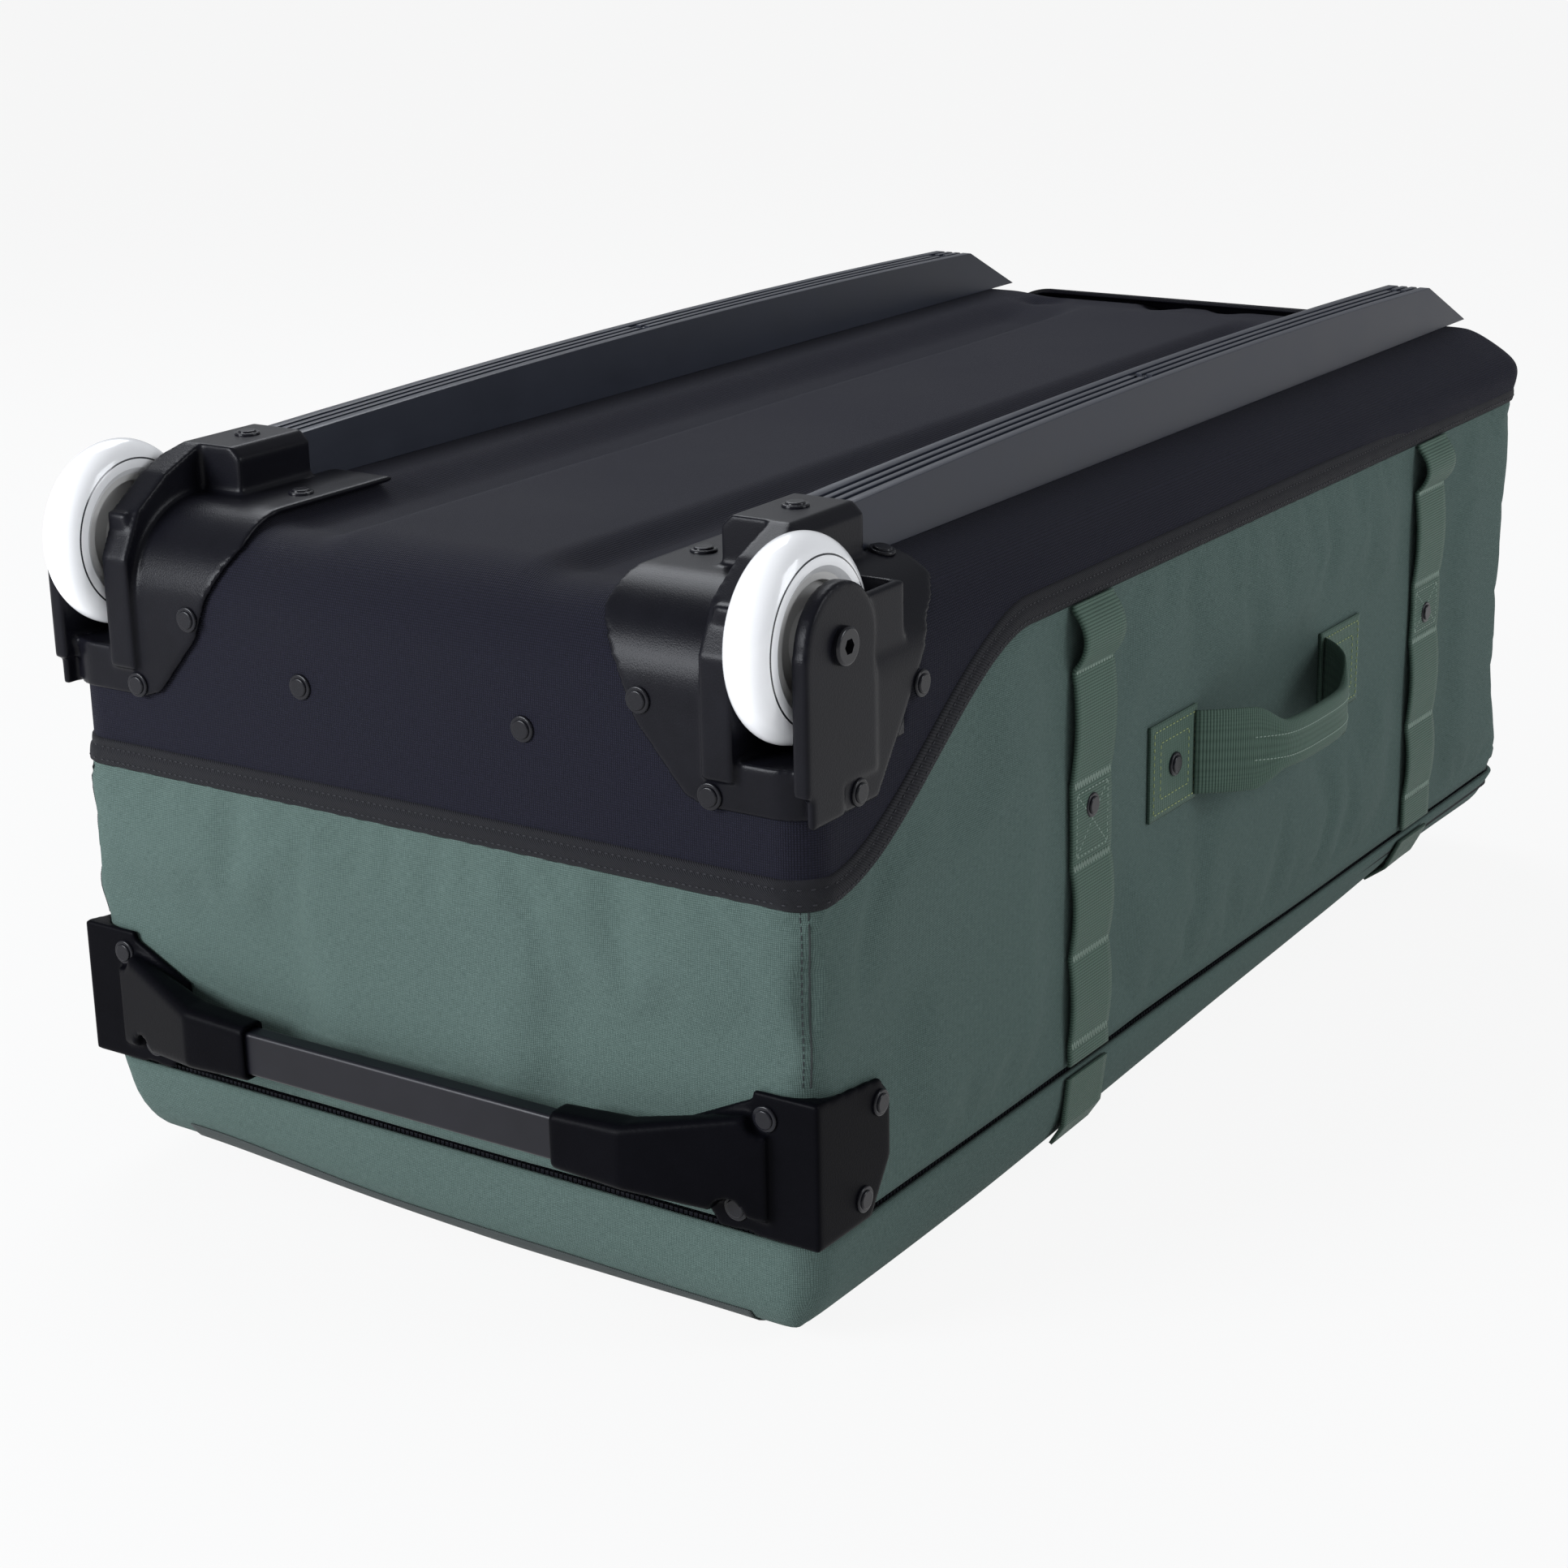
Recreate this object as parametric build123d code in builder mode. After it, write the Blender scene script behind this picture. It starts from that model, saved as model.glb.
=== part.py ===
"""Large rolling duffel bag, lying on its zipped lid with its wheels and skid rails uppermost.

Millimetres. +Z is up, +Y runs from the wheel end to the handle end, X goes across.
The origin is under the middle of the bag, on the surface that it rests on.
Right-hand pieces (x > 0) are drawn once and mirrored for the left.
"""
from build123d import *
import os

os.makedirs("parts", exist_ok=True)

# ---- soft body ----
body_width = 430.0
body_length = 808.0
wheel_end = -394.0  # y of the flat end that carries the wheels
handle_end = wheel_end + body_length
mid_y = (wheel_end + handle_end) / 2
half_width = body_width / 2
corner_radius = 18.0  # upright corners, seen from above
top_radius = 40.0  # moulded shell's edge round
wall = 4.0  # coated fabric on foam
shell_top = 338.0
back_panel = 11.0  # moulded back with its stiffener
zip_z = 56.0  # middle of the zip
zip_height = 16.0  # both tapes and the chain between them
zip_gap = 1.6  # between the two rows of teeth, where the slider's post runs
zip_thick = 2.4
walls_bottom = zip_z + zip_height / 2
lid_top = zip_z - zip_height / 2
seam_low = 217.0  # shell seam across the wheel end
seam_high = 300.0  # shell seam along the sides
seam_bend = (28.0, 190.0)  # where the seam starts and stops climbing, from the wheel end
tape_width = 14.0
seam_shift = 0.3  # how far the climb moves along for each mm that the seam drops
tape_thick = 1.2
groove_x = 82.0  # moulded grooves of the back, either side of its middle panel
groove_width = 40.0
groove_depth = 6.0
seat = 0.2  # fit of a hard piece on or in the fabric

# ---- wheels and their housings ----
wheel_x = half_width - 19
wheel_y = wheel_end + 21.0
wheel_z = 323.0
wheel_radius = 45.0
wheel_width = 24.0
hub_radius = 29.0
bearing_radius = 11.0
bearing_width = 7.0
axle_radius = 4.0
running = 0.05  # radial clearance of the bearings on the axle
side_play = 0.6
well_gap = 5.0  # between the tyre and the well
well_inner_x = half_width - 34
well_outer_x = half_width - 4
skin = 3.2  # thickness of the moulded flanges
ear_x = half_width + 4  # outer face of the outer ear
ear_radius = 27.0
nut_wall = 12.0
sleeve_length = 50.0
sleeve_start = 48.0
sleeve_top = 364.0

# ---- skid rails ----
rail_x = half_width - 55
rail_base = 34.0
rail_crest = 25.0
rail_rise = 30.0  # at the middle of its bow
rail_end_rise = 22.0
rail_start = wheel_end + 56.0
rail_finish = wheel_end + 800.0
rail_slope = 50.0
rail_screw_y = (wheel_end + 398.0, wheel_end + 730.0)
rail_groove_width = 2.4
rail_groove_depth = 1.2
rail_groove_pitch = 6.0

# ---- foot bar ----
bar_z = 89.0
bar_height = 22.0
bar_thick = 10.0
bar_front = wheel_end - 26.0
bar_half = half_width - 93
bracket_plate = 4.0
spout_wall = 3.0
spout_x = half_width - 123

# ---- straps and side handles ----
strap_width = 40.0
strap_thick = 2.6
strap_y = (wheel_end + 242.0, wheel_end + 655.0)
strap_top = 291.0
handle_y = (wheel_end + 331.0, wheel_end + 535.0)  # centres of the two anchor patches
handle_z = 186.0
patch_size = (50.0, 52.0)
patch_thick = 2.4
grip_reach = 34.0
grip_thick = 5.0
grip_width = 32.0
grip_pivot_gap = 0.3
root_slope = 0.55  # the webbing folds to a point at its pivot, so that it can swing

# ---- telescopic handle ----
tube_x = 65.0
tube_z = 319.0
tube_size = (22.0, 12.0)
tube_wall = 1.3
slide_fit = 0.25
tube_start = wheel_end + 17.0
stage_start = wheel_end + 36.0
grip_bar = (176.0, 15.0, 22.0)
grip_front = handle_end - 7.0
cup_wall = 2.5
cup_fit = 1.0
button_size = (36.0, 8.0, 10.0)
button_proud = 1.0
bezel_near = handle_end - 34.0
bezel_half = 146.0

# ---- fasteners ----
rivet_head = 6.2
rivet_cap = 4.5  # raised middle of the head
rivet_flange = 1.3
rivet_dome = 2.2
rivet_shank = 2.2


def rounded_box(width, length, radius, bottom, top, edge):
    """Upright block with round corners and a rounded top edge."""
    with BuildPart() as block:
        with BuildSketch(Plane.XY.offset(bottom)):
            with Locations((0, mid_y)):
                RectangleRounded(width, length, radius)
        extrude(amount=top - bottom)
        fillet(block.edges().group_by(Axis.Z)[-1], edge)
    return block.part


def envelope(grow, bottom=walls_bottom, top=shell_top):
    """Outer form of the closed body, `grow` mm outside the fabric's face."""
    return rounded_box(
        body_width + 2 * grow,
        body_length + 2 * grow,
        corner_radius + grow,
        bottom,
        top + grow,
        top_radius + grow,
    )


def side_prism(points, x_from, x_to):
    """Prism across the bag with a straight-sided outline in Y and Z."""
    with BuildPart() as prism:
        with BuildSketch(Plane.YZ.offset(x_from)):
            with BuildLine():
                Polyline(*points, close=True)
            make_face()
        extrude(amount=x_to - x_from)
    return prism.part


def end_prism(points, y_from, y_to):
    """Prism along the bag with a straight-sided outline in X and Z."""
    with BuildPart() as prism:
        with BuildSketch(Plane.XZ.offset(-y_from)):
            with BuildLine():
                Polyline(*points, close=True)
            make_face()
        extrude(amount=y_from - y_to)
    return prism.part


def block(x, y, z):
    """Box from its (low, high) limits along X, Y and Z."""
    with BuildPart() as box:
        with Locations(((x[0] + x[1]) / 2, (y[0] + y[1]) / 2, (z[0] + z[1]) / 2)):
            Box(x[1] - x[0], y[1] - y[0], z[1] - z[0])
    return box.part


def rod(axis, centre, radius, start, end):
    """Cylinder along an axis, "x", "y" or "z", between two places on it."""
    planes = {
        "x": Plane((start, *centre), x_dir=(0, 1, 0), z_dir=(1, 0, 0)),
        "y": Plane((centre[0], start, centre[1]), x_dir=(1, 0, 0), z_dir=(0, 1, 0)),
        "z": Plane((*centre, start), x_dir=(1, 0, 0), z_dir=(0, 0, 1)),
    }
    with BuildPart() as bar:
        with BuildSketch(planes[axis]):
            Circle(radius)
        extrude(amount=end - start)
    return bar.part


def above_seam(drop):
    """Everything above the shell seam, with the seam `drop` mm lower and as much steeper."""
    shift = drop * seam_shift
    y0, y1 = wheel_end + seam_bend[0] + shift, wheel_end + seam_bend[1] + shift
    low_z, high_z = seam_low - drop, seam_high - drop
    with BuildPart() as region:
        with BuildSketch(Plane.YZ.offset(-half_width - 40)):
            with BuildLine():
                low = Line((wheel_end - 60, low_z), (y0, low_z))
                rise = Spline(low @ 1, (y1, high_z), tangents=((1, 0), (1, 0)))
                high = Line(rise @ 1, (handle_end + 60, high_z))
                Polyline(high @ 1, (handle_end + 60, 440), (wheel_end - 60, 440), low @ 0)
            make_face()
        extrude(amount=body_width + 80)
    return region.part


def pins(places, radius, depth, proud=0.0):
    """Round pins: each place is a point on a surface and the way out of it."""
    with BuildPart() as group:
        for point, out in places:
            base = Plane(Vector(*point) - Vector(*out) * depth, z_dir=out)
            with BuildSketch(base):
                Circle(radius)
            extrude(amount=depth + proud)
    return group.part


def rivets(places, depth):
    """Domed rivets with their shanks, standing on the given places."""
    with BuildPart() as group:
        add(pins(places, rivet_shank, depth, rivet_dome / 2))
        for point, out in places:
            for radius, height in ((rivet_head, rivet_flange), (rivet_cap, rivet_dome)):
                with BuildSketch(Plane(point, z_dir=out)):
                    Circle(radius)
                extrude(amount=height)
        outer = []
        for point, out in places:
            for radius, height in ((rivet_head, rivet_flange), (rivet_cap, rivet_dome)):
                rims = group.edges().filter_by(lambda e: abs(e.length - 6.2832 * radius) < 0.1)
                outer.append(rims.sort_by_distance(Vector(*point) + Vector(*out) * height)[0])
        fillet(outer, rivet_flange * 0.6)
    return group.part


def both_sides(places):
    """The same places on the right and on the left."""
    left = [((-p[0], p[1], p[2]), (-d[0], d[1], d[2])) for p, d in places]
    return list(places) + left


def save(part, name):
    part.label = name
    export_step(part, f"parts/{name}.step")


def save_pair(part, stem):
    """Writes the right-hand piece and its mirror image."""
    save(part, f"{stem}_right")
    with BuildPart() as other:
        add(part)
        mirror(about=Plane.YZ, mode=Mode.REPLACE)
    save(other.part, f"{stem}_left")


# ---- places that several pieces share ----
OUT_END, OUT_SIDE, OUT_TOP = (0, -1, 0), (1, 0, 0), (0, 0, 1)
housing_places = [
    ((half_width - 84, wheel_end - skin, 293), OUT_END),
    ((half_width - 48, wheel_end - skin, 256), OUT_END),
    ((half_width + skin, wheel_end + 84, 291), OUT_SIDE),
    ((half_width + skin, wheel_end + 33, 256), OUT_SIDE),
    ((half_width - 97, wheel_end + 66, shell_top + skin), OUT_TOP),
    ((half_width - 31.2, wheel_end + 108, shell_top + 2.31), (0.2037, 0, 0.979)),
]
sleeve_places = [((rail_x, wheel_end + 76, sleeve_top), OUT_TOP)]
bracket_places = [
    ((half_width - 23, wheel_end - bracket_plate, 114), OUT_END),
    ((half_width - 39, wheel_end - bracket_plate, 68), OUT_END),
    ((half_width + bracket_plate, wheel_end + 46, 109), OUT_SIDE),
    ((half_width + bracket_plate, wheel_end + 32, 68), OUT_SIDE),
]
strap_places = [((half_width + seat + strap_thick, y, handle_z + 4), OUT_SIDE) for y in strap_y]
handle_places = [((half_width + seat + patch_thick, y, handle_z), OUT_SIDE) for y in handle_y]
tube_foot_places = [((tube_x, wheel_end, 269), OUT_END)]

# ---- wheel well: the block that holds it and the slot that the wheel turns in ----
well_bottom = wheel_z - wheel_radius - well_gap
well_back = wheel_y + wheel_radius + well_gap
well_block = block(
    (well_inner_x - nut_wall, half_width + 1),
    (wheel_end - 1, well_back + skin),
    (well_bottom - skin, shell_top + 1),
)
well_slot = block(
    (well_inner_x, well_outer_x), (wheel_end - 60, well_back), (well_bottom, shell_top + 60)
)

# ---- skid rail: bowed side profile, trapezoid section, three grooves along its crest ----
rail_middle = (rail_start + rail_finish) / 2


def rail_profile(lower):
    """Side view of the rail with its crest `lower` mm down; its far end slopes to the shell."""
    with BuildPart() as profile:
        with BuildSketch(Plane.YZ.offset(rail_x - rail_base / 2)):
            with BuildLine():
                start = (rail_start, shell_top + rail_end_rise - lower)
                peak = (rail_middle, shell_top + rail_rise - lower)
                stop = (rail_finish - rail_slope, shell_top + rail_end_rise + 4 - lower)
                ThreePointArc(start, peak, stop)
                Polyline(stop, (rail_finish, shell_top), (rail_start, shell_top), start)
            make_face()
        extrude(amount=rail_base)
    return profile.part


def rail_section(grow):
    """Trapezoid section of the rail, run along the bag."""
    low, high = rail_base / 2 + grow, rail_crest / 2 + grow
    top = shell_top + rail_rise + 2
    outline = [(rail_x - low, shell_top), (rail_x + low, shell_top)]
    outline += [(rail_x + high, top), (rail_x - high, top)]
    return end_prism(outline, rail_start - grow, rail_finish)


with BuildPart() as rail_grooves:
    for step in (-1, 0, 1):
        x = rail_x + step * rail_groove_pitch
        edge = rail_groove_width / 2
        add(block((x - edge, x + edge), (rail_start, rail_finish), (shell_top, shell_top + 60)))
    add(rail_profile(rail_groove_depth), mode=Mode.SUBTRACT)

with BuildPart() as rail_seat:
    add(rail_profile(-seat))
    add(rail_section(seat), mode=Mode.INTERSECT)

with BuildPart() as rail:
    add(rail_profile(0))
    add(rail_section(0), mode=Mode.INTERSECT)
    add(rail_grooves.part, mode=Mode.SUBTRACT)
    for y in rail_screw_y:
        add(block((rail_x - 5, rail_x + 5), (y - 4, y + 4), (shell_top + 20, 400)), mode=Mode.SUBTRACT)
        add(rod("z", (rail_x, y), 2.1, shell_top - 1, shell_top + 21), mode=Mode.SUBTRACT)
save_pair(rail.part, "skid_rail")

with BuildPart() as rail_screws:
    for side in (-1, 1):
        for y in rail_screw_y:
            add(rod("z", (side * rail_x, y), 3.8, shell_top + 20, shell_top + 23))
            add(rod("z", (side * rail_x, y), 2.1, shell_top - 8, shell_top + 20))
            with BuildSketch(Plane((side * rail_x, y, shell_top + 23))):
                Rectangle(5.5, 1.1)
                Rectangle(1.1, 5.5)
            extrude(amount=-1.5, mode=Mode.SUBTRACT)
save(rail_screws.part, "rail_screws")

# ---- wheel housing: flanges over the corner, wheel well, outer ear, inner arm and rail sleeve ----
end_shape = [(11, 249), (-48, 249), (-62, 254), (-87, 283), (-95, 303), (-110, 328)]
end_shape += [(-110, 400), (11, 400)]
end_outline = [(half_width + x, z) for x, z in end_shape]
side_outline = [(-20, 251), (49, 248), (98, 317), (118, 330), (118, 400), (-20, 400)]
arm_outline = [(-7, 264), (-7, 318), (4, 340), (24, 354), (sleeve_start, sleeve_top)]
arm_outline += [(sleeve_start + 10, sleeve_top), (sleeve_start + 10, 264)]


def from_wheel_end(outline):
    return [(wheel_end + y, z) for y, z in outline]


with BuildPart() as housing:
    add(envelope(skin))
    add(end_prism(end_outline, wheel_end - 30, wheel_end + 140), mode=Mode.INTERSECT)
    add(side_prism(from_wheel_end(side_outline), half_width - 125, half_width + 25), mode=Mode.INTERSECT)
    add(side_prism(from_wheel_end(arm_outline), well_inner_x - 16, well_inner_x))
    sleeve_x = (rail_x - rail_base / 2 - skin, well_inner_x)
    sleeve_y = (wheel_end + sleeve_start, wheel_end + sleeve_start + sleeve_length)
    add(block(sleeve_x, sleeve_y, (shell_top - 6, sleeve_top)))
    chamfer(housing.edges().filter_by(Axis.Y).sort_by(Axis.Z)[-2:], 5)
    with BuildSketch(Plane.YZ.offset(well_outer_x)):
        with Locations((wheel_y, wheel_z)):
            Circle(ear_radius)
        with Locations((wheel_end + 20, wheel_z - 30)):
            Rectangle(2 * ear_radius, 60)
    extrude(amount=ear_x - well_outer_x)
    add(envelope(seat), mode=Mode.SUBTRACT)
    add(well_block)
    add(block((half_width + seat, ear_x), (wheel_end - skin, wheel_y), (249, 300)))
    add(well_slot, mode=Mode.SUBTRACT)
    add(rail_seat.part, mode=Mode.SUBTRACT)
    add(rod("x", (wheel_y, wheel_z), axle_radius, well_inner_x - 21, ear_x + 11), mode=Mode.SUBTRACT)
    nut_x = well_inner_x - nut_wall
    with BuildSketch(Plane.YZ.offset(nut_x)):
        with Locations((wheel_y, wheel_z)):
            RegularPolygon(7.1, 6)
    extrude(amount=6, mode=Mode.SUBTRACT)
    add(pins(housing_places, rivet_shank, 12), mode=Mode.SUBTRACT)
    add(pins(sleeve_places, rivet_shank, 2), mode=Mode.SUBTRACT)
save_pair(housing.part, "wheel_housing")

# ---- wheel, bearings and axle ----
half_tread = wheel_width / 2
with BuildPart() as tyre:
    with BuildSketch(Plane.XY):
        with BuildLine():
            inner = Line((wheel_x - half_tread + 2, hub_radius), (wheel_x + half_tread - 2, hub_radius))
            right = Line(inner @ 1, (wheel_x + half_tread, wheel_radius - 13))
            tread = ThreePointArc(right @ 1, (wheel_x, wheel_radius), (wheel_x - half_tread, wheel_radius - 13))
            Line(tread @ 1, inner @ 0)
        make_face()
    revolve(axis=Axis.X)
wheel_place = Location((0, wheel_y, wheel_z))
save_pair(tyre.part.moved(wheel_place), "wheel_tyre")

bore = axle_radius + running
with BuildPart() as hub:
    with BuildSketch(Plane.XY):
        with BuildLine():
            web = 6.0
            Polyline(
                (wheel_x - half_tread + 2, hub_radius),
                (wheel_x + half_tread - 2, hub_radius),
                (wheel_x + half_tread - 2, hub_radius - 3),
                (wheel_x + web, hub_radius - 4),
                (wheel_x + web, bearing_radius + 4),
                (wheel_x + half_tread - 1, bearing_radius + 3),
                (wheel_x + half_tread - 1, bearing_radius),
                (wheel_x - half_tread + 1, bearing_radius),
                (wheel_x - half_tread + 1, bearing_radius + 3),
                (wheel_x - web, bearing_radius + 4),
                (wheel_x - web, hub_radius - 4),
                (wheel_x - half_tread + 2, hub_radius - 3),
                close=True,
            )
        make_face()
    revolve(axis=Axis.X)
save_pair(hub.part.moved(wheel_place), "wheel_hub")

bearing_out = half_tread - 1.5
with BuildPart() as bearings:
    for start in (wheel_x - bearing_out, wheel_x + bearing_out - bearing_width):
        add(rod("x", (0, 0), bearing_radius, start, start + bearing_width))
        add(rod("x", (0, 0), bore, start, start + bearing_width), mode=Mode.SUBTRACT)
save_pair(bearings.part.moved(wheel_place), "wheel_bearings")

with BuildPart() as spacers:
    spans = [
        (well_inner_x, wheel_x - bearing_out - side_play / 2),
        (wheel_x - bearing_out + bearing_width + 0.2, wheel_x + bearing_out - bearing_width - 0.2),
        (wheel_x + bearing_out + side_play / 2, well_outer_x),
    ]
    for start, end in spans:
        add(rod("x", (0, 0), axle_radius + 2.4, start, end))
        add(rod("x", (0, 0), axle_radius, start, end), mode=Mode.SUBTRACT)
save_pair(spacers.part.moved(wheel_place), "axle_spacers")

with BuildPart() as axle:
    add(rod("x", (0, 0), axle_radius, nut_x, ear_x))
    add(rod("x", (0, 0), 8.5, ear_x, ear_x + 3.2))
    fillet(axle.edges().sort_by(Axis.X)[-1], 1.4)
    with BuildSketch(Plane.YZ.offset(ear_x + 3.2)):
        RegularPolygon(3.6, 6)
    extrude(amount=-3.5, mode=Mode.SUBTRACT)
save_pair(axle.part.moved(wheel_place), "axle_bolt")

with BuildPart() as nut:
    with BuildSketch(Plane.YZ.offset(nut_x)):
        RegularPolygon(7.0, 6)
        Circle(axle_radius, mode=Mode.SUBTRACT)
    extrude(amount=6)
save_pair(nut.part.moved(wheel_place), "axle_nut")

# ---- fabric walls, moulded back and the binding over their seam ----
inner_top = shell_top - back_panel
cavity = envelope(-wall, top=inner_top + wall)
all_holes = both_sides(housing_places + bracket_places + strap_places + handle_places + tube_foot_places)
rivet_holes = pins(all_holes, rivet_shank, 14)

with BuildPart() as walls:
    add(envelope(0))
    add(cavity, mode=Mode.SUBTRACT)
    add(above_seam(0), mode=Mode.SUBTRACT)
    add(rivet_holes, mode=Mode.SUBTRACT)
save(walls.part, "body_walls")


def tube(width, height, thick, start, end):
    """Pair of round-cornered tubes along the bag."""
    with BuildPart() as pair:
        for side in (-1, 1):
            with BuildSketch(Plane((side * tube_x, start, tube_z), x_dir=(1, 0, 0), z_dir=(0, 1, 0))):
                RectangleRounded(width, height, 4)
                if thick:
                    RectangleRounded(width - 2 * thick, height - 2 * thick, 4 - thick, mode=Mode.SUBTRACT)
            extrude(amount=end - start)
    return pair.part


foot_z = tube_z - tube_size[1] / 2
foot_x = (-tube_x - 20, tube_x + 20)
with BuildPart() as tube_foot:
    add(block(foot_x, (wheel_end + wall + 1, wheel_end + wall + 4), (255, foot_z)))
    add(block(foot_x, (wheel_end + wall + 4, wheel_end + wall + 40), (foot_z - 3, foot_z)))
tube_foot_form = tube_foot.part


def groove_cutter(side):
    """Long moulded groove with sloping sides, running out before both ends."""
    top = Plane((side * groove_x, mid_y, shell_top + 0.01))
    bottom = Plane((side * groove_x, mid_y, shell_top - groove_depth))
    with BuildPart() as cutter:
        with BuildSketch(top):
            RectangleRounded(groove_width, body_length - 130, 16)
        with BuildSketch(bottom):
            RectangleRounded(groove_width - 22, body_length - 160, 8)
        loft()
    return cutter.part


cup_x = grip_bar[0] / 2 + cup_fit
cup_z = (tube_z - grip_bar[2] / 2 - cup_fit, tube_z + grip_bar[2] / 2 + cup_fit)
cup_back = grip_front - cup_fit
cup_block = block(
    (-cup_x - cup_wall, cup_x + cup_wall),
    (cup_back - cup_wall, handle_end + 1),
    (cup_z[0] - cup_wall, cup_z[1] + cup_wall),
)
bezel_space = block(
    (-bezel_half, bezel_half), (bezel_near, handle_end + 10), (cup_z[0] - cup_wall, shell_top + 60)
)

with BuildPart() as shell:
    add(envelope(0))
    add(cavity, mode=Mode.SUBTRACT)
    add(above_seam(0), mode=Mode.INTERSECT)
    for side in (-1, 1):
        add(groove_cutter(side), mode=Mode.SUBTRACT)
    add(well_block, mode=Mode.SUBTRACT)
    add(well_block.mirror(Plane.YZ), mode=Mode.SUBTRACT)
    add(cup_block, mode=Mode.SUBTRACT)
    add(tube_foot_form, mode=Mode.SUBTRACT)
    add(tube(*tube_size, 0, tube_start, handle_end), mode=Mode.SUBTRACT)
    add(rivet_holes, mode=Mode.SUBTRACT)
    for side in (-1, 1):
        for y in rail_screw_y:
            add(rod("z", (side * rail_x, y), 2.1, shell_top - 8, shell_top + 1), mode=Mode.SUBTRACT)
save(shell.part, "back_shell")

with BuildPart() as seam_band:
    add(above_seam(tape_width / 2))
    add(above_seam(-tape_width / 2), mode=Mode.SUBTRACT)

with BuildPart() as tape:
    add(envelope(tape_thick))
    add(seam_band.part, mode=Mode.INTERSECT)
    add(envelope(0), mode=Mode.SUBTRACT)
    add(bezel_space, mode=Mode.SUBTRACT)
save(tape.part, "seam_binding")

# ---- zip and lid ----
zip_inset = (wall - zip_thick) / 2


def zip_ring(bottom, top):
    """Straight run of zip tape and teeth round the whole bag."""
    outer = rounded_box_plain(zip_inset, bottom, top)
    inner = rounded_box_plain(zip_inset + zip_thick, bottom, top)
    with BuildPart() as ring:
        add(outer)
        add(inner, mode=Mode.SUBTRACT)
    return ring.part


def rounded_box_plain(inset, bottom, top):
    """Upright block with round corners, `inset` mm inside the fabric's face."""
    with BuildPart() as plain:
        with BuildSketch(Plane.XY.offset(bottom)):
            with Locations((0, mid_y)):
                RectangleRounded(body_width - 2 * inset, body_length - 2 * inset, corner_radius - inset)
        extrude(amount=top - bottom)
    return plain.part


save(zip_ring(zip_z + zip_gap / 2, walls_bottom), "zip_half_body")
save(zip_ring(lid_top, zip_z - zip_gap / 2), "zip_half_lid")

lid_crown = [(0.0, 130.0, 70.0), (9.0, 50.0, 60.0), (26.0, 8.0, 34.0)]  # z, inset, corner radius


def lid_form(inset, lift):
    """Crowned tray: a flat middle, two sloping bands and upright sides."""
    with BuildPart() as form:
        levels = [(z + lift, edge + inset, radius) for z, edge, radius in lid_crown]
        levels.append((lid_top, inset, corner_radius - inset))
        for z, edge, radius in levels:
            with BuildSketch(Plane.XY.offset(z)):
                with Locations((0, mid_y)):
                    RectangleRounded(body_width - 2 * edge, body_length - 2 * edge, radius)
        loft(ruled=True)
    return form.part


with BuildPart() as lid:
    add(lid_form(0, 0))
    add(lid_form(wall, wall), mode=Mode.SUBTRACT)
save(lid.part, "lid_panel")

# ---- zip sliders with their pulls, meeting in the middle of the handle end ----
zip_face = handle_end - zip_inset
plate = 1.2
slider_fit = 0.3
slider_length = 16.0
slider_height = 13.0
for name, x in (("left", -10.0), ("right", 10.0)):
    x_span = (x - slider_length / 2, x + slider_length / 2)
    z_span = (zip_z - slider_height / 2, zip_z + slider_height / 2)
    with BuildPart() as slider:
        out = (zip_face + slider_fit, zip_face + slider_fit + plate)
        back = (zip_face - zip_thick - slider_fit - plate, zip_face - zip_thick - slider_fit)
        add(block(x_span, out, z_span))
        add(block(x_span, back, z_span))
        add(block((x - 5, x + 5), (back[0], out[1]), (zip_z - 0.5, zip_z + 0.5)))
        add(block((x - 1.2, x + 1.2), (out[1] - 0.2, out[1] + 4.2), z_span))
        add(rod("x", (out[1] + 2.2, zip_z), 1.3, x - 2, x + 2), mode=Mode.SUBTRACT)
    save(slider.part, f"zip_slider_{name}")
    with BuildPart() as pull:
        hinge_y = zip_face + slider_fit + plate + 2.2
        add(rod("x", (hinge_y, zip_z), 1.2, x - 4.4, x + 4.4))
        for side in (-1, 1):
            leg = (x + side * 3.4 - 1.0, x + side * 3.4 + 1.0)
            add(block(leg, (hinge_y - 1.0, hinge_y + 1.0), (zip_z - 12, zip_z)))
        add(block((x - 4.4, x + 4.4), (hinge_y - 1.2, hinge_y + 1.2), (zip_z - 34, zip_z - 11)))
    save(pull.part, f"zip_pull_{name}")

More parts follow.
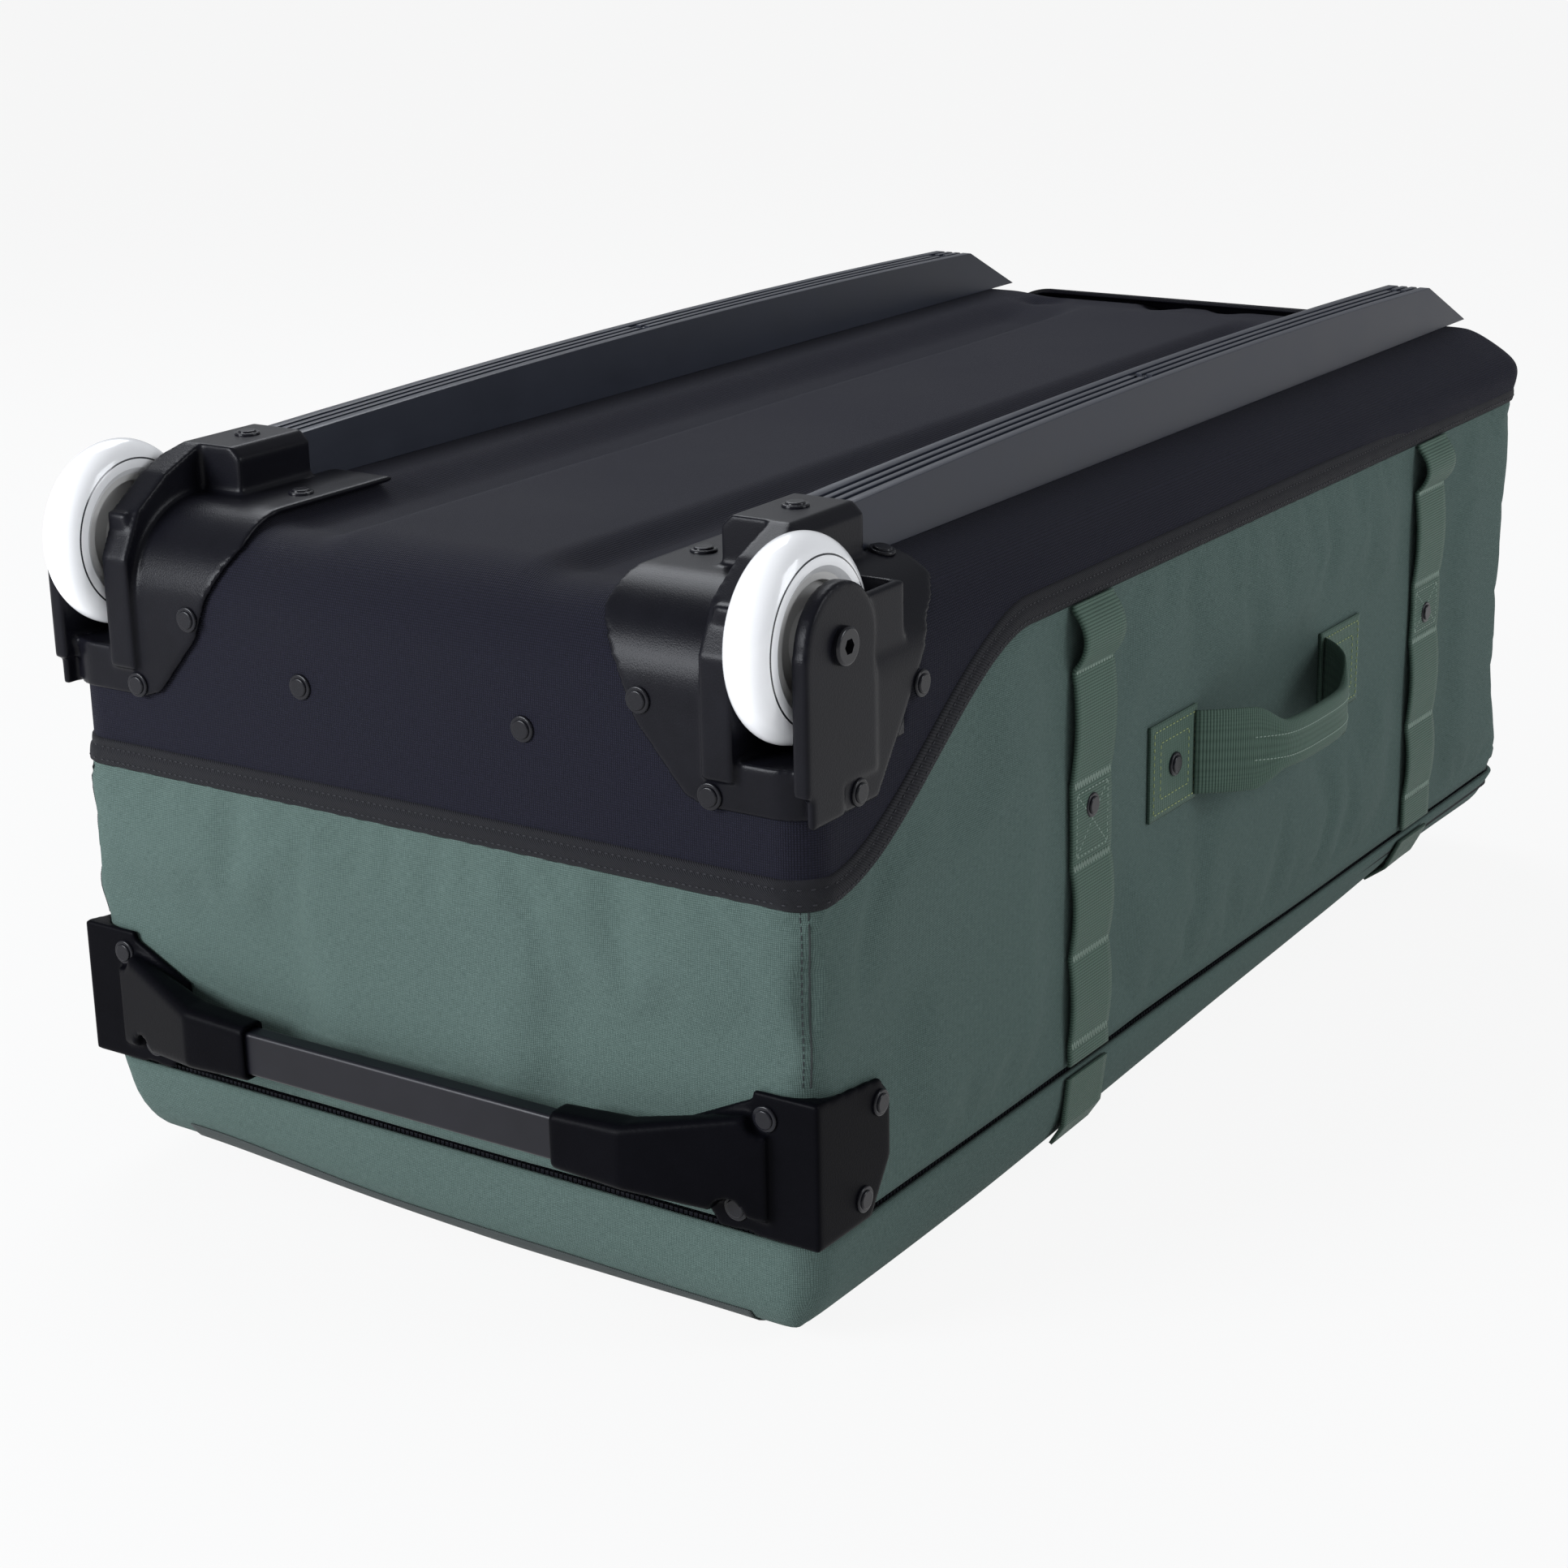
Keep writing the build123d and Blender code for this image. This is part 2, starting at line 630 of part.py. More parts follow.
# ---- foot bar and its corner brackets ----
bracket_shape = [(bracket_plate, 126), (-23, 125), (-50, 112), (-65, 105)]
bracket_shape += [(-65, 74), (-57, 68), (-49, 57), (bracket_plate, 58)]
bracket_outline = [(half_width + x, z) for x, z in bracket_shape]
cheek_outline = [(-bracket_plate, 56), (39, 56), (55, 80), (55, 110), (47, 120), (-bracket_plate, 126)]
with BuildPart() as bracket:
    add(end_prism(bracket_outline, wheel_end - bracket_plate, wheel_end))
    add(side_prism(from_wheel_end(cheek_outline), half_width - 30, half_width + bracket_plate))
    bar_middle = bar_front + bar_thick / 2
    with BuildSketch(Plane.YZ.offset(spout_x)):
        with Locations((bar_middle, bar_z)):
            RectangleRounded(bar_thick + 2 * spout_wall, bar_height + 2 * spout_wall, 4)
    with BuildSketch(Plane.YZ.offset(spout_x + 38)):
        with Locations((bar_middle + 1, bar_z)):
            RectangleRounded(bar_thick + 2 * spout_wall + 2, bar_height + 2 * spout_wall + 4, 5)
    loft()
    with BuildSketch(Plane.YZ.offset(spout_x + 38)):
        with Locations((bar_middle + 1, bar_z)):
            RectangleRounded(bar_thick + 2 * spout_wall + 2, bar_height + 2 * spout_wall + 4, 5)
    with BuildSketch(Plane.YZ.offset(half_width - 21)):
        with Locations((wheel_end - 4, bar_z + 2)):
            RectangleRounded(8, 52, 3.5)
    loft()
    add(envelope(seat, bottom=zip_z), mode=Mode.SUBTRACT)
    bar_hole = (bar_front - seat, bar_front + bar_thick + seat)
    hole_z = (bar_z - bar_height / 2 - seat, bar_z + bar_height / 2 + seat)
    add(block((0, bar_half + seat), bar_hole, hole_z), mode=Mode.SUBTRACT)
    add(pins(bracket_places, rivet_shank, 30), mode=Mode.SUBTRACT)
    for point, out in bracket_places:
        with BuildSketch(Plane(point, z_dir=out)):
            Circle(rivet_head + 1.2)
        extrude(amount=12, mode=Mode.SUBTRACT)
save_pair(bracket.part, "foot_bracket")

with BuildPart() as foot_bar:
    add(block((-bar_half, bar_half), (bar_front, bar_front + bar_thick), (bar_z - 11, bar_z + 11)))
    fillet(foot_bar.edges().filter_by(Axis.X), 2.0)
save(foot_bar.part, "foot_bar")

# ---- straps and side handles ----
strap_face = half_width + seat
for name, y in zip(("wheel_end", "handle_end"), strap_y):
    with BuildPart() as strap:
        add(block((strap_face, strap_face + strap_thick), (y - 20, y + 20), (walls_bottom, strap_top)))
        add(pins(strap_places, rivet_shank, 6), mode=Mode.SUBTRACT)
    save_pair(strap.part, f"strap_{name}")

with BuildPart() as lid_straps:
    for side in (-1, 1):
        for y in strap_y:
            edge = side * (strap_face + strap_thick / 2)
            with BuildSketch(Plane((edge, y, 30))):
                Rectangle(strap_thick, strap_width)
            extrude(amount=lid_top - 30)
save(lid_straps.part, "lid_straps")

with BuildPart() as patches:
    for y in handle_y:
        y_span = (y - patch_size[0] / 2, y + patch_size[0] / 2)
        z_span = (handle_z - patch_size[1] / 2, handle_z + patch_size[1] / 2)
        add(block((strap_face, strap_face + patch_thick), y_span, z_span))
    add(pins(handle_places, rivet_shank, 6), mode=Mode.SUBTRACT)
save_pair(patches.part, "handle_patches")

pivot_x = strap_face + patch_thick
grip_x = half_width + grip_reach + grip_thick / 2
loop_start, loop_end = handle_y[0] + 22, handle_y[1] - 22
grip_ends = (loop_start + 26, loop_end - 26)
with BuildPart() as carry_loop:
    with BuildSketch(Plane.XY.offset(handle_z - grip_width / 2)):
        with BuildLine():
            corners = [(pivot_x + grip_pivot_gap, loop_start), (grip_x, grip_ends[0])]
            corners += [(grip_x, grip_ends[1]), (pivot_x + grip_pivot_gap, loop_end)]
            path = FilletPolyline(*corners, radius=16)
        trace(path.edges(), line_width=grip_thick)
    extrude(amount=grip_width)
    half_grip = grip_width / 2
    full_x = pivot_x + half_grip / root_slope
    wedge = [(pivot_x, handle_z), (full_x, handle_z + half_grip), (grip_x + 9, handle_z + half_grip)]
    wedge += [(grip_x + 9, handle_z - half_grip), (full_x, handle_z - half_grip)]
    add(end_prism(wedge, loop_start - 20, loop_end + 20), mode=Mode.INTERSECT)
    add(block((pivot_x + grip_pivot_gap, 300), (loop_start - 20, loop_end + 20), (100, 260)), mode=Mode.INTERSECT)
save_pair(carry_loop.part, "carry_loop")

# ---- telescopic handle ----


stage_size = (tube_size[0] - 2 * tube_wall - 2 * slide_fit, tube_size[1] - 2 * tube_wall - 2 * slide_fit)
outer_end = cup_back - cup_wall
save(tube(*tube_size, tube_wall, tube_start, outer_end), "handle_outer_tubes")
save(tube(*stage_size, 1.2, stage_start, grip_front), "handle_inner_tubes")

with BuildPart() as cup:
    add(envelope(skin))
    add(bezel_space, mode=Mode.INTERSECT)
    add(envelope(seat), mode=Mode.SUBTRACT)
    for side in (-1, 1):
        with BuildSketch(Plane.XY.offset(250)):
            with BuildLine():
                near = (side * 96, bezel_near - 1)
                Polyline(near, (side * 150, bezel_near - 1), (side * 150, handle_end - 2), close=True)
            make_face()
        extrude(amount=200, mode=Mode.SUBTRACT)
    add(cup_block)
    add(envelope(skin), mode=Mode.INTERSECT)
    add(
        block((-cup_x, cup_x), (cup_back, handle_end + 40), (cup_z[0], cup_z[1])),
        mode=Mode.SUBTRACT,
    )
    add(
        tube(stage_size[0] + 2 * slide_fit, stage_size[1] + 2 * slide_fit, 0, cup_back - 5, cup_back + 1),
        mode=Mode.SUBTRACT,
    )
save(cup.part, "handle_bezel")

button_x = button_size[0] / 2
button_z = (tube_z - button_size[2] / 2, tube_z + button_size[2] / 2)
grip_back = grip_front + grip_bar[1]
with BuildPart() as grip:
    add(
        block(
            (-grip_bar[0] / 2, grip_bar[0] / 2),
            (grip_front, grip_back),
            (tube_z - grip_bar[2] / 2, tube_z + grip_bar[2] / 2),
        )
    )
    fillet(grip.edges().filter_by(Axis.X), 4.5)
    fit = slide_fit
    add(
        block(
            (-button_x - fit, button_x + fit),
            (grip_back - button_size[1], grip_back + 1),
            (button_z[0] - fit, button_z[1] + fit),
        ),
        mode=Mode.SUBTRACT,
    )
save(grip.part, "handle_grip")

button_travel = 3.0
with BuildPart() as button:
    add(
        block(
            (-button_x, button_x),
            (grip_back - button_size[1] + button_travel + fit, grip_back + button_proud),
            button_z,
        )
    )
    fillet(button.edges().group_by(Axis.Y)[-1], 0.8)
save(button.part, "release_button")

with BuildPart() as tube_foot_plate:
    add(tube_foot_form)
    add(pins(both_sides(tube_foot_places), rivet_shank, 14), mode=Mode.SUBTRACT)
save(tube_foot_plate.part, "tube_foot_plate")

# ---- rivets, one node for each group of the same kind ----
save(rivets(both_sides(housing_places), skin + wall), "housing_rivets")
save(rivets(both_sides(sleeve_places), 2), "sleeve_rivets")
save(rivets(both_sides(bracket_places), bracket_plate + wall), "bracket_rivets")
save(rivets(both_sides(strap_places), strap_thick + wall), "strap_rivets")
save(rivets(both_sides(handle_places), patch_thick + wall), "handle_rivets")
save(rivets(both_sides(tube_foot_places), wall + 4), "tube_foot_rivets")
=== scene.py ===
# %% [markdown]
# # A rolling duffel bag around its hard frame
# The wheels, housings, rails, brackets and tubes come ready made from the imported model. Everything sewn
# or moulded in cloth is made here: the green walls, the black moulded back, the lid, the binding over
# their seams, the webbing and the carry loops. All sizes are metres, in the frame of the model.

import bpy
import bmesh
import math
from mathutils import Matrix, Vector, noise
from mathutils.bvhtree import BVHTree


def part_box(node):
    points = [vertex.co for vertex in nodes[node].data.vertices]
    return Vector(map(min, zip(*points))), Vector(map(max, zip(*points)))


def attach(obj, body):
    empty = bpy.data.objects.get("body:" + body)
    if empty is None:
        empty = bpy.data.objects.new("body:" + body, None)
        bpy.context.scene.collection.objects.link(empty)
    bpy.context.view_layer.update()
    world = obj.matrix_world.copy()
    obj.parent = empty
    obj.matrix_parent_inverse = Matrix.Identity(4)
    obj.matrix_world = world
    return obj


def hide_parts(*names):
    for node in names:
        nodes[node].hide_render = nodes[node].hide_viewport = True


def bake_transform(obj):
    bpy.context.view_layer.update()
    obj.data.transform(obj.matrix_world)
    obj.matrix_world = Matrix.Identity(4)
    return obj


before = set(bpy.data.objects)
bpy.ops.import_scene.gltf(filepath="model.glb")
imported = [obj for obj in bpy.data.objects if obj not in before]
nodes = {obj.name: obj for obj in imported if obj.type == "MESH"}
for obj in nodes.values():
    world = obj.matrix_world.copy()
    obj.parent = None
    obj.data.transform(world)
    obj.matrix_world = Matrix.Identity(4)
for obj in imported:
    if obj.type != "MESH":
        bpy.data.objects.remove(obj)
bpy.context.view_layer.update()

# %% [markdown]
# ## Measures read from the frame
# The soft pieces are drawn over plain solids of the right size, so their places come from those solids:
# the bag's half width, its two ends, the heights of the zip, of the seam and of the moulded back.

# %% Measures
walls_lo, walls_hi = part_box("body_walls")
shell_lo, shell_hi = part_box("back_shell")
lid_lo, lid_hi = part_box("lid_panel")
half_width = walls_hi.x
wheel_end, handle_end = walls_lo.y, walls_hi.y
mid_y = (wheel_end + handle_end) / 2
half_length = (handle_end - wheel_end) / 2
walls_bottom, lid_top = walls_lo.z, lid_hi.z
zip_z = (walls_bottom + lid_top) / 2
shell_top = shell_hi.z
seam_low, seam_high = shell_lo.z, walls_hi.z
wheel_lo, wheel_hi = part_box("wheel_tyre_right")
wheel_centre = (wheel_lo + wheel_hi) / 2
hands = ((1, "right"), (-1, "left"))
join_gap = 0.00002
print("half width", half_width, "ends", wheel_end, handle_end)
print("heights", zip_z, seam_low, seam_high, shell_top)


def smooth(a, b, v):
    """0 below a, 1 above b, and an easy slope between."""
    t = min(1.0, max(0.0, (v - a) / (b - a)))
    return t * t * (3 - 2 * t)


def seam_z(y):
    """Height of the seam between the green walls and the black back."""
    climb = smooth(wheel_end + 0.012, wheel_end + 0.185, y)
    return seam_low + (seam_high - seam_low) * climb


# %% [markdown]
# ## The camera
# It stands off the wheel end's right corner, a little above the bag and looking slightly down, through a
# short telephoto lens. The tilt of about one degree is that of a camera held by hand.

# %% Camera
scene = bpy.context.scene
camera_data = bpy.data.cameras.new("camera")
camera_data.sensor_width = 36
camera_data.lens = 69.88
camera = bpy.data.objects.new("camera", camera_data)
scene.collection.objects.link(camera)
scene.camera = camera
heading, dip, roll = math.radians(34.01), math.radians(18.15), math.radians(-1.1245)
forward = Vector((-math.sin(heading) * math.cos(dip), math.cos(heading) * math.cos(dip), -math.sin(dip)))
level = Vector((math.cos(heading), math.sin(heading), 0))
upright = level.cross(forward)
camera_x = level * math.cos(roll) + upright * math.sin(roll)
camera_y = upright * math.cos(roll) - level * math.sin(roll)
camera.matrix_world = Matrix.Translation((0.8724, wheel_end - 0.9928, 0.6590)) @ Matrix(
    (camera_x, camera_y, -forward)
).transposed().to_4x4()
print("camera at", tuple(round(v, 3) for v in camera.location))

# %% [markdown]
# ## Floor, room and lamps
# A pale floor meets an equally pale room. The floor shows its own light grey to the camera and in
# polished surfaces; the room shows its grey to the camera and through clear things, and a faint cool fill
# to all other rays, while the lamps do the lighting: a broad one overhead, a softer one on each side.

# %% Stage
room_grey = 0.97


def plain_material(name):
    material = bpy.data.materials.new(name)
    material.use_nodes = True
    tree = material.node_tree
    tree.nodes.clear()
    return material, tree


def node(tree, kind, **values):
    """Adds a shader node; keys that name inputs use underscores for spaces."""
    new = tree.nodes.new(kind)
    for key, value in values.items():
        label = key.replace("_", " ")
        if label in new.inputs:
            new.inputs[label].default_value = value
        else:
            setattr(new, key, value)
    return new


def either_ray(tree, other):
    """1 for a ray from the camera or of the other kind, else 0."""
    rays = node(tree, "ShaderNodeLightPath")
    seen = node(tree, "ShaderNodeMath", operation="MAXIMUM")
    tree.links.new(rays.outputs["Is Camera Ray"], seen.inputs[0])
    tree.links.new(rays.outputs[other], seen.inputs[1])
    return seen.outputs[0]


def mix_shaders(tree, factor, first, second):
    mix = node(tree, "ShaderNodeMixShader")
    for socket, source in zip(mix.inputs, (factor, first.outputs[0], second.outputs[0])):
        tree.links.new(source, socket)
    return mix.outputs[0]


floor_share = 0.93
floor_material, tree = plain_material("pale_floor")
matt = node(tree, "ShaderNodeBsdfDiffuse", Color=(0.82, 0.82, 0.82, 1))
glow = node(tree, "ShaderNodeEmission", Color=(room_grey, room_grey, room_grey, 1), Strength=1.0)
share = node(tree, "ShaderNodeMath", operation="MULTIPLY")
share.inputs[1].default_value = floor_share
tree.links.new(either_ray(tree, "Is Glossy Ray"), share.inputs[0])
output = node(tree, "ShaderNodeOutputMaterial")
tree.links.new(mix_shaders(tree, share.outputs[0], matt, glow), output.inputs[0])

mesh = bpy.data.meshes.new("floor")
bm = bmesh.new()
bmesh.ops.create_grid(bm, x_segments=1, y_segments=1, size=30)
bm.to_mesh(mesh)
bm.free()
floor = bpy.data.objects.new("floor", mesh)
scene.collection.objects.link(floor)
mesh.materials.append(floor_material)

world = bpy.data.worlds.new("room")
scene.world = world
world.use_nodes = True
tree = world.node_tree
tree.nodes.clear()
room = node(tree, "ShaderNodeBackground", Color=(room_grey, room_grey, room_grey, 1), Strength=1.0)
fill = node(tree, "ShaderNodeBackground", Color=(0.93, 0.96, 1.0, 1), Strength=0.36)
output = node(tree, "ShaderNodeOutputWorld")
tree.links.new(mix_shaders(tree, either_ray(tree, "Is Transmission Ray"), fill, room), output.inputs[0])


def lamp(name, place, target, power, width, height):
    """Rectangular soft box that faces its target."""
    data = bpy.data.lights.new(name, "AREA")
    data.shape = "RECTANGLE"
    data.size, data.size_y = width, height
    data.energy = power
    data.color = (0.92, 0.95, 1.0)
    light = bpy.data.objects.new(name, data)
    light.location = place
    light.rotation_mode = "QUATERNION"
    light.rotation_quaternion = (Vector(target) - Vector(place)).to_track_quat("-Z", "Y")
    scene.collection.objects.link(light)
    return light


lamp("overhead", (-1.2, 0.9, 2.1), (0, 0.0, 0.3), 30, 1.2, 1.6)
lamp("wheel_end", (-1.1, -2.4, 1.0), (0, -0.35, 0.2), 74, 1.2, 1.0)
lamp("right_side", (2.4, 0.7, 1.3), (0.2, 0.1, 0.2), 25, 1.0, 1.4)
scene.view_settings.view_transform = "Standard"
print("stage set")

# %% [markdown]
# ## A small kit for finishes
# Every finish is a Principled shader fed by simple sums. Woven cloth is two crossed sine waves: where
# both are high, a thread lies on top. The waves run along the two axes that lie in the surface, chosen
# by the way the surface faces, so the same cloth covers the side, the end and the top.

# %% Finish kit


def calc(tree, operation, a, b=0.0):
    """One sum on sockets or plain numbers."""
    new = tree.nodes.new("ShaderNodeMath")
    new.operation = operation
    for socket, value in zip(new.inputs, (a, b)):
        if isinstance(value, bpy.types.NodeSocket):
            tree.links.new(value, socket)
        else:
            socket.default_value = value
    return new.outputs[0]


def plus(tree, a, b):
    return calc(tree, "ADD", a, b)


def minus(tree, a, b):
    return calc(tree, "SUBTRACT", a, b)


def times(tree, a, b):
    return calc(tree, "MULTIPLY", a, b)


def pick(tree, factor, low, high):
    """Colour between two, by a factor."""
    new = tree.nodes.new("ShaderNodeMix")
    new.data_type = "RGBA"
    tree.links.new(factor, new.inputs[0])
    for socket, value in ((new.inputs[6], low), (new.inputs[7], high)):
        if isinstance(value, bpy.types.NodeSocket):
            tree.links.new(value, socket)
        else:
            socket.default_value = (*value, 1)
    return new.outputs[2]


def lie(tree):
    """The two distances that lie in the surface, and the object's own coordinates."""
    place = tree.nodes.new("ShaderNodeTexCoord")
    at = tree.nodes.new("ShaderNodeSeparateXYZ")
    facing = tree.nodes.new("ShaderNodeSeparateXYZ")
    tree.links.new(place.outputs["Object"], at.inputs[0])
    tree.links.new(place.outputs["Normal"], facing.inputs[0])
    lean = [calc(tree, "ABSOLUTE", facing.outputs[i]) for i in range(3)]
    sideways = calc(tree, "GREATER_THAN", lean[0], calc(tree, "MAXIMUM", lean[1], lean[2]))
    level = calc(tree, "GREATER_THAN", lean[2], calc(tree, "MAXIMUM", lean[0], lean[1]))

    def swap(choice, first, second):
        kept = times(tree, first, minus(tree, 1.0, choice))
        return plus(tree, kept, times(tree, second, choice))

    u = swap(sideways, at.outputs[0], at.outputs[1])
    v = swap(level, at.outputs[2], at.outputs[1])
    return u, v, place.outputs["Object"]


def cloth_map(tree):
    """Distances across and along a strap, from its own map."""
    chart = tree.nodes.new("ShaderNodeUVMap")
    chart.uv_map = "cloth_map"
    split = tree.nodes.new("ShaderNodeSeparateXYZ")
    tree.links.new(chart.outputs[0], split.inputs[0])
    return split.outputs[0], split.outputs[1], chart.outputs[0]


def grain(tree, vector, scale, detail=2.0, stretch=(1, 1, 1)):
    """Noise whose cells are about 1/scale metres, stretched along an axis if asked."""
    spread = tree.nodes.new("ShaderNodeMapping")
    spread.inputs["Scale"].default_value = [scale * s for s in stretch]
    tree.links.new(vector, spread.inputs["Vector"])
    new = node(tree, "ShaderNodeTexNoise", Scale=1.0, Detail=detail)
    tree.links.new(spread.outputs[0], new.inputs["Vector"])
    return new.outputs["Fac"]


def ribs(tree, distance, pitch):
    """Round ridges, one for each pitch."""
    return calc(tree, "ABSOLUTE", calc(tree, "SINE", times(tree, distance, math.pi / pitch)))


def shade(name, build, roughness=0.5, relief=0.0002, strength=0.6, **fixed):
    """Principled finish; build() returns its colour, roughness and height sockets."""
    material, tree = plain_material(name)
    colour, rough, height = build(tree)
    shader = node(tree, "ShaderNodeBsdfPrincipled", Roughness=roughness)
    for key, value in fixed.items():
        shader.inputs[key.replace("_", " ")].default_value = value
    tree.links.new(colour, shader.inputs["Base Color"])
    if rough is not None:
        tree.links.new(rough, shader.inputs["Roughness"])
    bump = node(tree, "ShaderNodeBump", Strength=strength, Distance=relief)
    tree.links.new(height, bump.inputs["Height"])
    tree.links.new(bump.outputs[0], shader.inputs["Normal"])
    output = node(tree, "ShaderNodeOutputMaterial")
    tree.links.new(shader.outputs[0], output.inputs[0])
    return material


print("finish kit ready")

# %% [markdown]
# ## Cloth finishes
# The green cloth is a heathered polyester: thin light and dark threads run both ways. The black cloth of
# the back has a coarser, darker weave. Webbing is ribbed straight across, so its ribs follow the strap's
# own map. The binding and the crease tape are twill, with slanting ribs. In every cloth the colour is
# lighter on the threads and ribs and darker in the gaps and grooves between them: painted shade.

# %% Cloth finishes


def woven(pitch, dark, light, heather, mottle):
    def build(tree):
        u, v, place = lie(tree)
        hills = times(tree, ribs(tree, u, pitch), ribs(tree, v, pitch))
        flat = tree.nodes.new("ShaderNodeCombineXYZ")
        tree.links.new(u, flat.inputs[0])
        tree.links.new(v, flat.inputs[1])
        warp = grain(tree, flat.outputs[0], 260, 1.0, (1, 7, 1))
        weft = grain(tree, flat.outputs[0], 260, 1.0, (7, 1, 1))
        cloud = grain(tree, place, 7, 3.0)
        threads = times(tree, minus(tree, plus(tree, warp, weft), 1.0), heather)
        patchy = times(tree, minus(tree, cloud, 0.5), mottle)
        # The thread height (hills) also lightens the colour on the threads and darkens it in the gaps:
        # painted shade, added to the real heather threads and mottle.
        level = plus(tree, plus(tree, threads, patchy), times(tree, hills, 0.75))
        rough = plus(tree, 0.72, times(tree, cloud, 0.2))
        return pick(tree, plus(tree, level, 0.12), dark, light), rough, hills

    return build


def webbing(dark, light, pitch=0.0015):
    def build(tree):
        across, along, chart = cloth_map(tree)
        ridge = ribs(tree, along, pitch)
        crossing = ribs(tree, across, pitch * 0.9)
        worn = grain(tree, chart, 60, 2.0)
        height = plus(tree, times(tree, ridge, 0.8), times(tree, crossing, 0.25))
        # The rib height also sets the colour: lighter ridges and darker grooves are painted shade; the
        # worn noise is real wear.
        level = plus(tree, times(tree, height, 0.7), times(tree, worn, 0.25))
        return pick(tree, level, dark, light), plus(tree, 0.45, times(tree, worn, 0.25)), height

    return build


def twill(dark, light, pitch=0.0013):
    def build(tree):
        across, along, chart = cloth_map(tree)
        slant = ribs(tree, plus(tree, along, across), pitch)
        worn = grain(tree, chart, 90, 2.0)
        # The slanting ribs also set the colour, darker between them: painted shade; the worn noise is
        # real wear.
        level = plus(tree, times(tree, slant, 0.6), times(tree, worn, 0.4))
        return pick(tree, level, dark, light), plus(tree, 0.55, times(tree, worn, 0.25)), slant

    return build


sheen = dict(Sheen_Weight=0.03, Sheen_Roughness=0.5, Specular_IOR_Level=0.14)
green_threads = woven(0.0009, (0.040, 0.066, 0.058), (0.125, 0.178, 0.160), 0.5, 0.25)
back_threads = woven(0.0011, (0.0026, 0.0026, 0.0060), (0.0125, 0.0125, 0.025), 0.4, 0.2)
green_ribs = webbing((0.016, 0.034, 0.025), (0.105, 0.165, 0.128))
binding_ribs = twill((0.002, 0.002, 0.003), (0.019, 0.019, 0.023))
crease_ribs = twill((0.02, 0.026, 0.026), (0.075, 0.085, 0.082))
black_threads = woven(0.0012, (0.003, 0.003, 0.004), (0.02, 0.02, 0.024), 0.4, 0.2)
cloth_finishes = {
    "green_cloth": (green_threads, 0.00025, 0.6),
    "back_cloth": (back_threads, 0.0005, 0.6),
    "green_webbing": (green_ribs, 0.0004, 0.8),
    "binding_twill": (binding_ribs, 0.0004, 0.8),
    "crease_twill": (crease_ribs, 0.0003, 0.6),
    "black_webbing": (black_threads, 0.0003, 0.6),
}
finishes = {}
for name, (weave, relief, strength) in cloth_finishes.items():
    finishes[name] = shade(name, weave, relief=relief, strength=strength, **sheen)
print("cloths", len(finishes))

# %% [markdown]
# ## Hard finishes
# The housings and brackets are moulded plastic with a fine sand grain and a few rubbed patches. The
# rails are smoother and a little cloudy. The tyres are glossy white urethane with one thin printed ring,
# drawn by distance from the axle, so that it turns with the wheel.

# %% Hard finishes


def moulded(dark, light, sand, rough_from, rough_to):
    def build(tree):
        u, v, place = lie(tree)
        fine = grain(tree, place, sand, 2.0)
        cloud = grain(tree, place, 22, 3.0)
        rubbed = grain(tree, place, 90, 4.0, (1, 0.25, 1))
        tone = plus(tree, times(tree, cloud, 0.6), times(tree, rubbed, 0.4))
        rough = plus(tree, rough_from, times(tree, tone, rough_to - rough_from))
        height = plus(tree, fine, times(tree, rubbed, 0.12))
        return pick(tree, tone, dark, light), rough, height

    return build


ring_line_radius = 0.0365


def urethane(tree):
    place = tree.nodes.new("ShaderNodeTexCoord")
    at = tree.nodes.new("ShaderNodeSeparateXYZ")
    tree.links.new(place.outputs["Object"], at.inputs[0])
    dy = minus(tree, at.outputs[1], wheel_centre.y)
    dz = minus(tree, at.outputs[2], wheel_centre.z)
    reach = calc(tree, "POWER", plus(tree, times(tree, dy, dy), times(tree, dz, dz)), 0.5)
    from_line = calc(tree, "ABSOLUTE", minus(tree, reach, ring_line_radius))
    line = calc(tree, "LESS_THAN", from_line, 0.0004)
    cloud = grain(tree, place.outputs["Object"], 30, 3.0)
    white = pick(tree, cloud, (0.93, 0.925, 0.925), (0.97, 0.965, 0.965))
    rough = plus(tree, 0.12, times(tree, cloud, 0.16))
    fine = grain(tree, place.outputs["Object"], 500, 2.0)
    return pick(tree, line, white, (0.03, 0.03, 0.035)), rough, fine


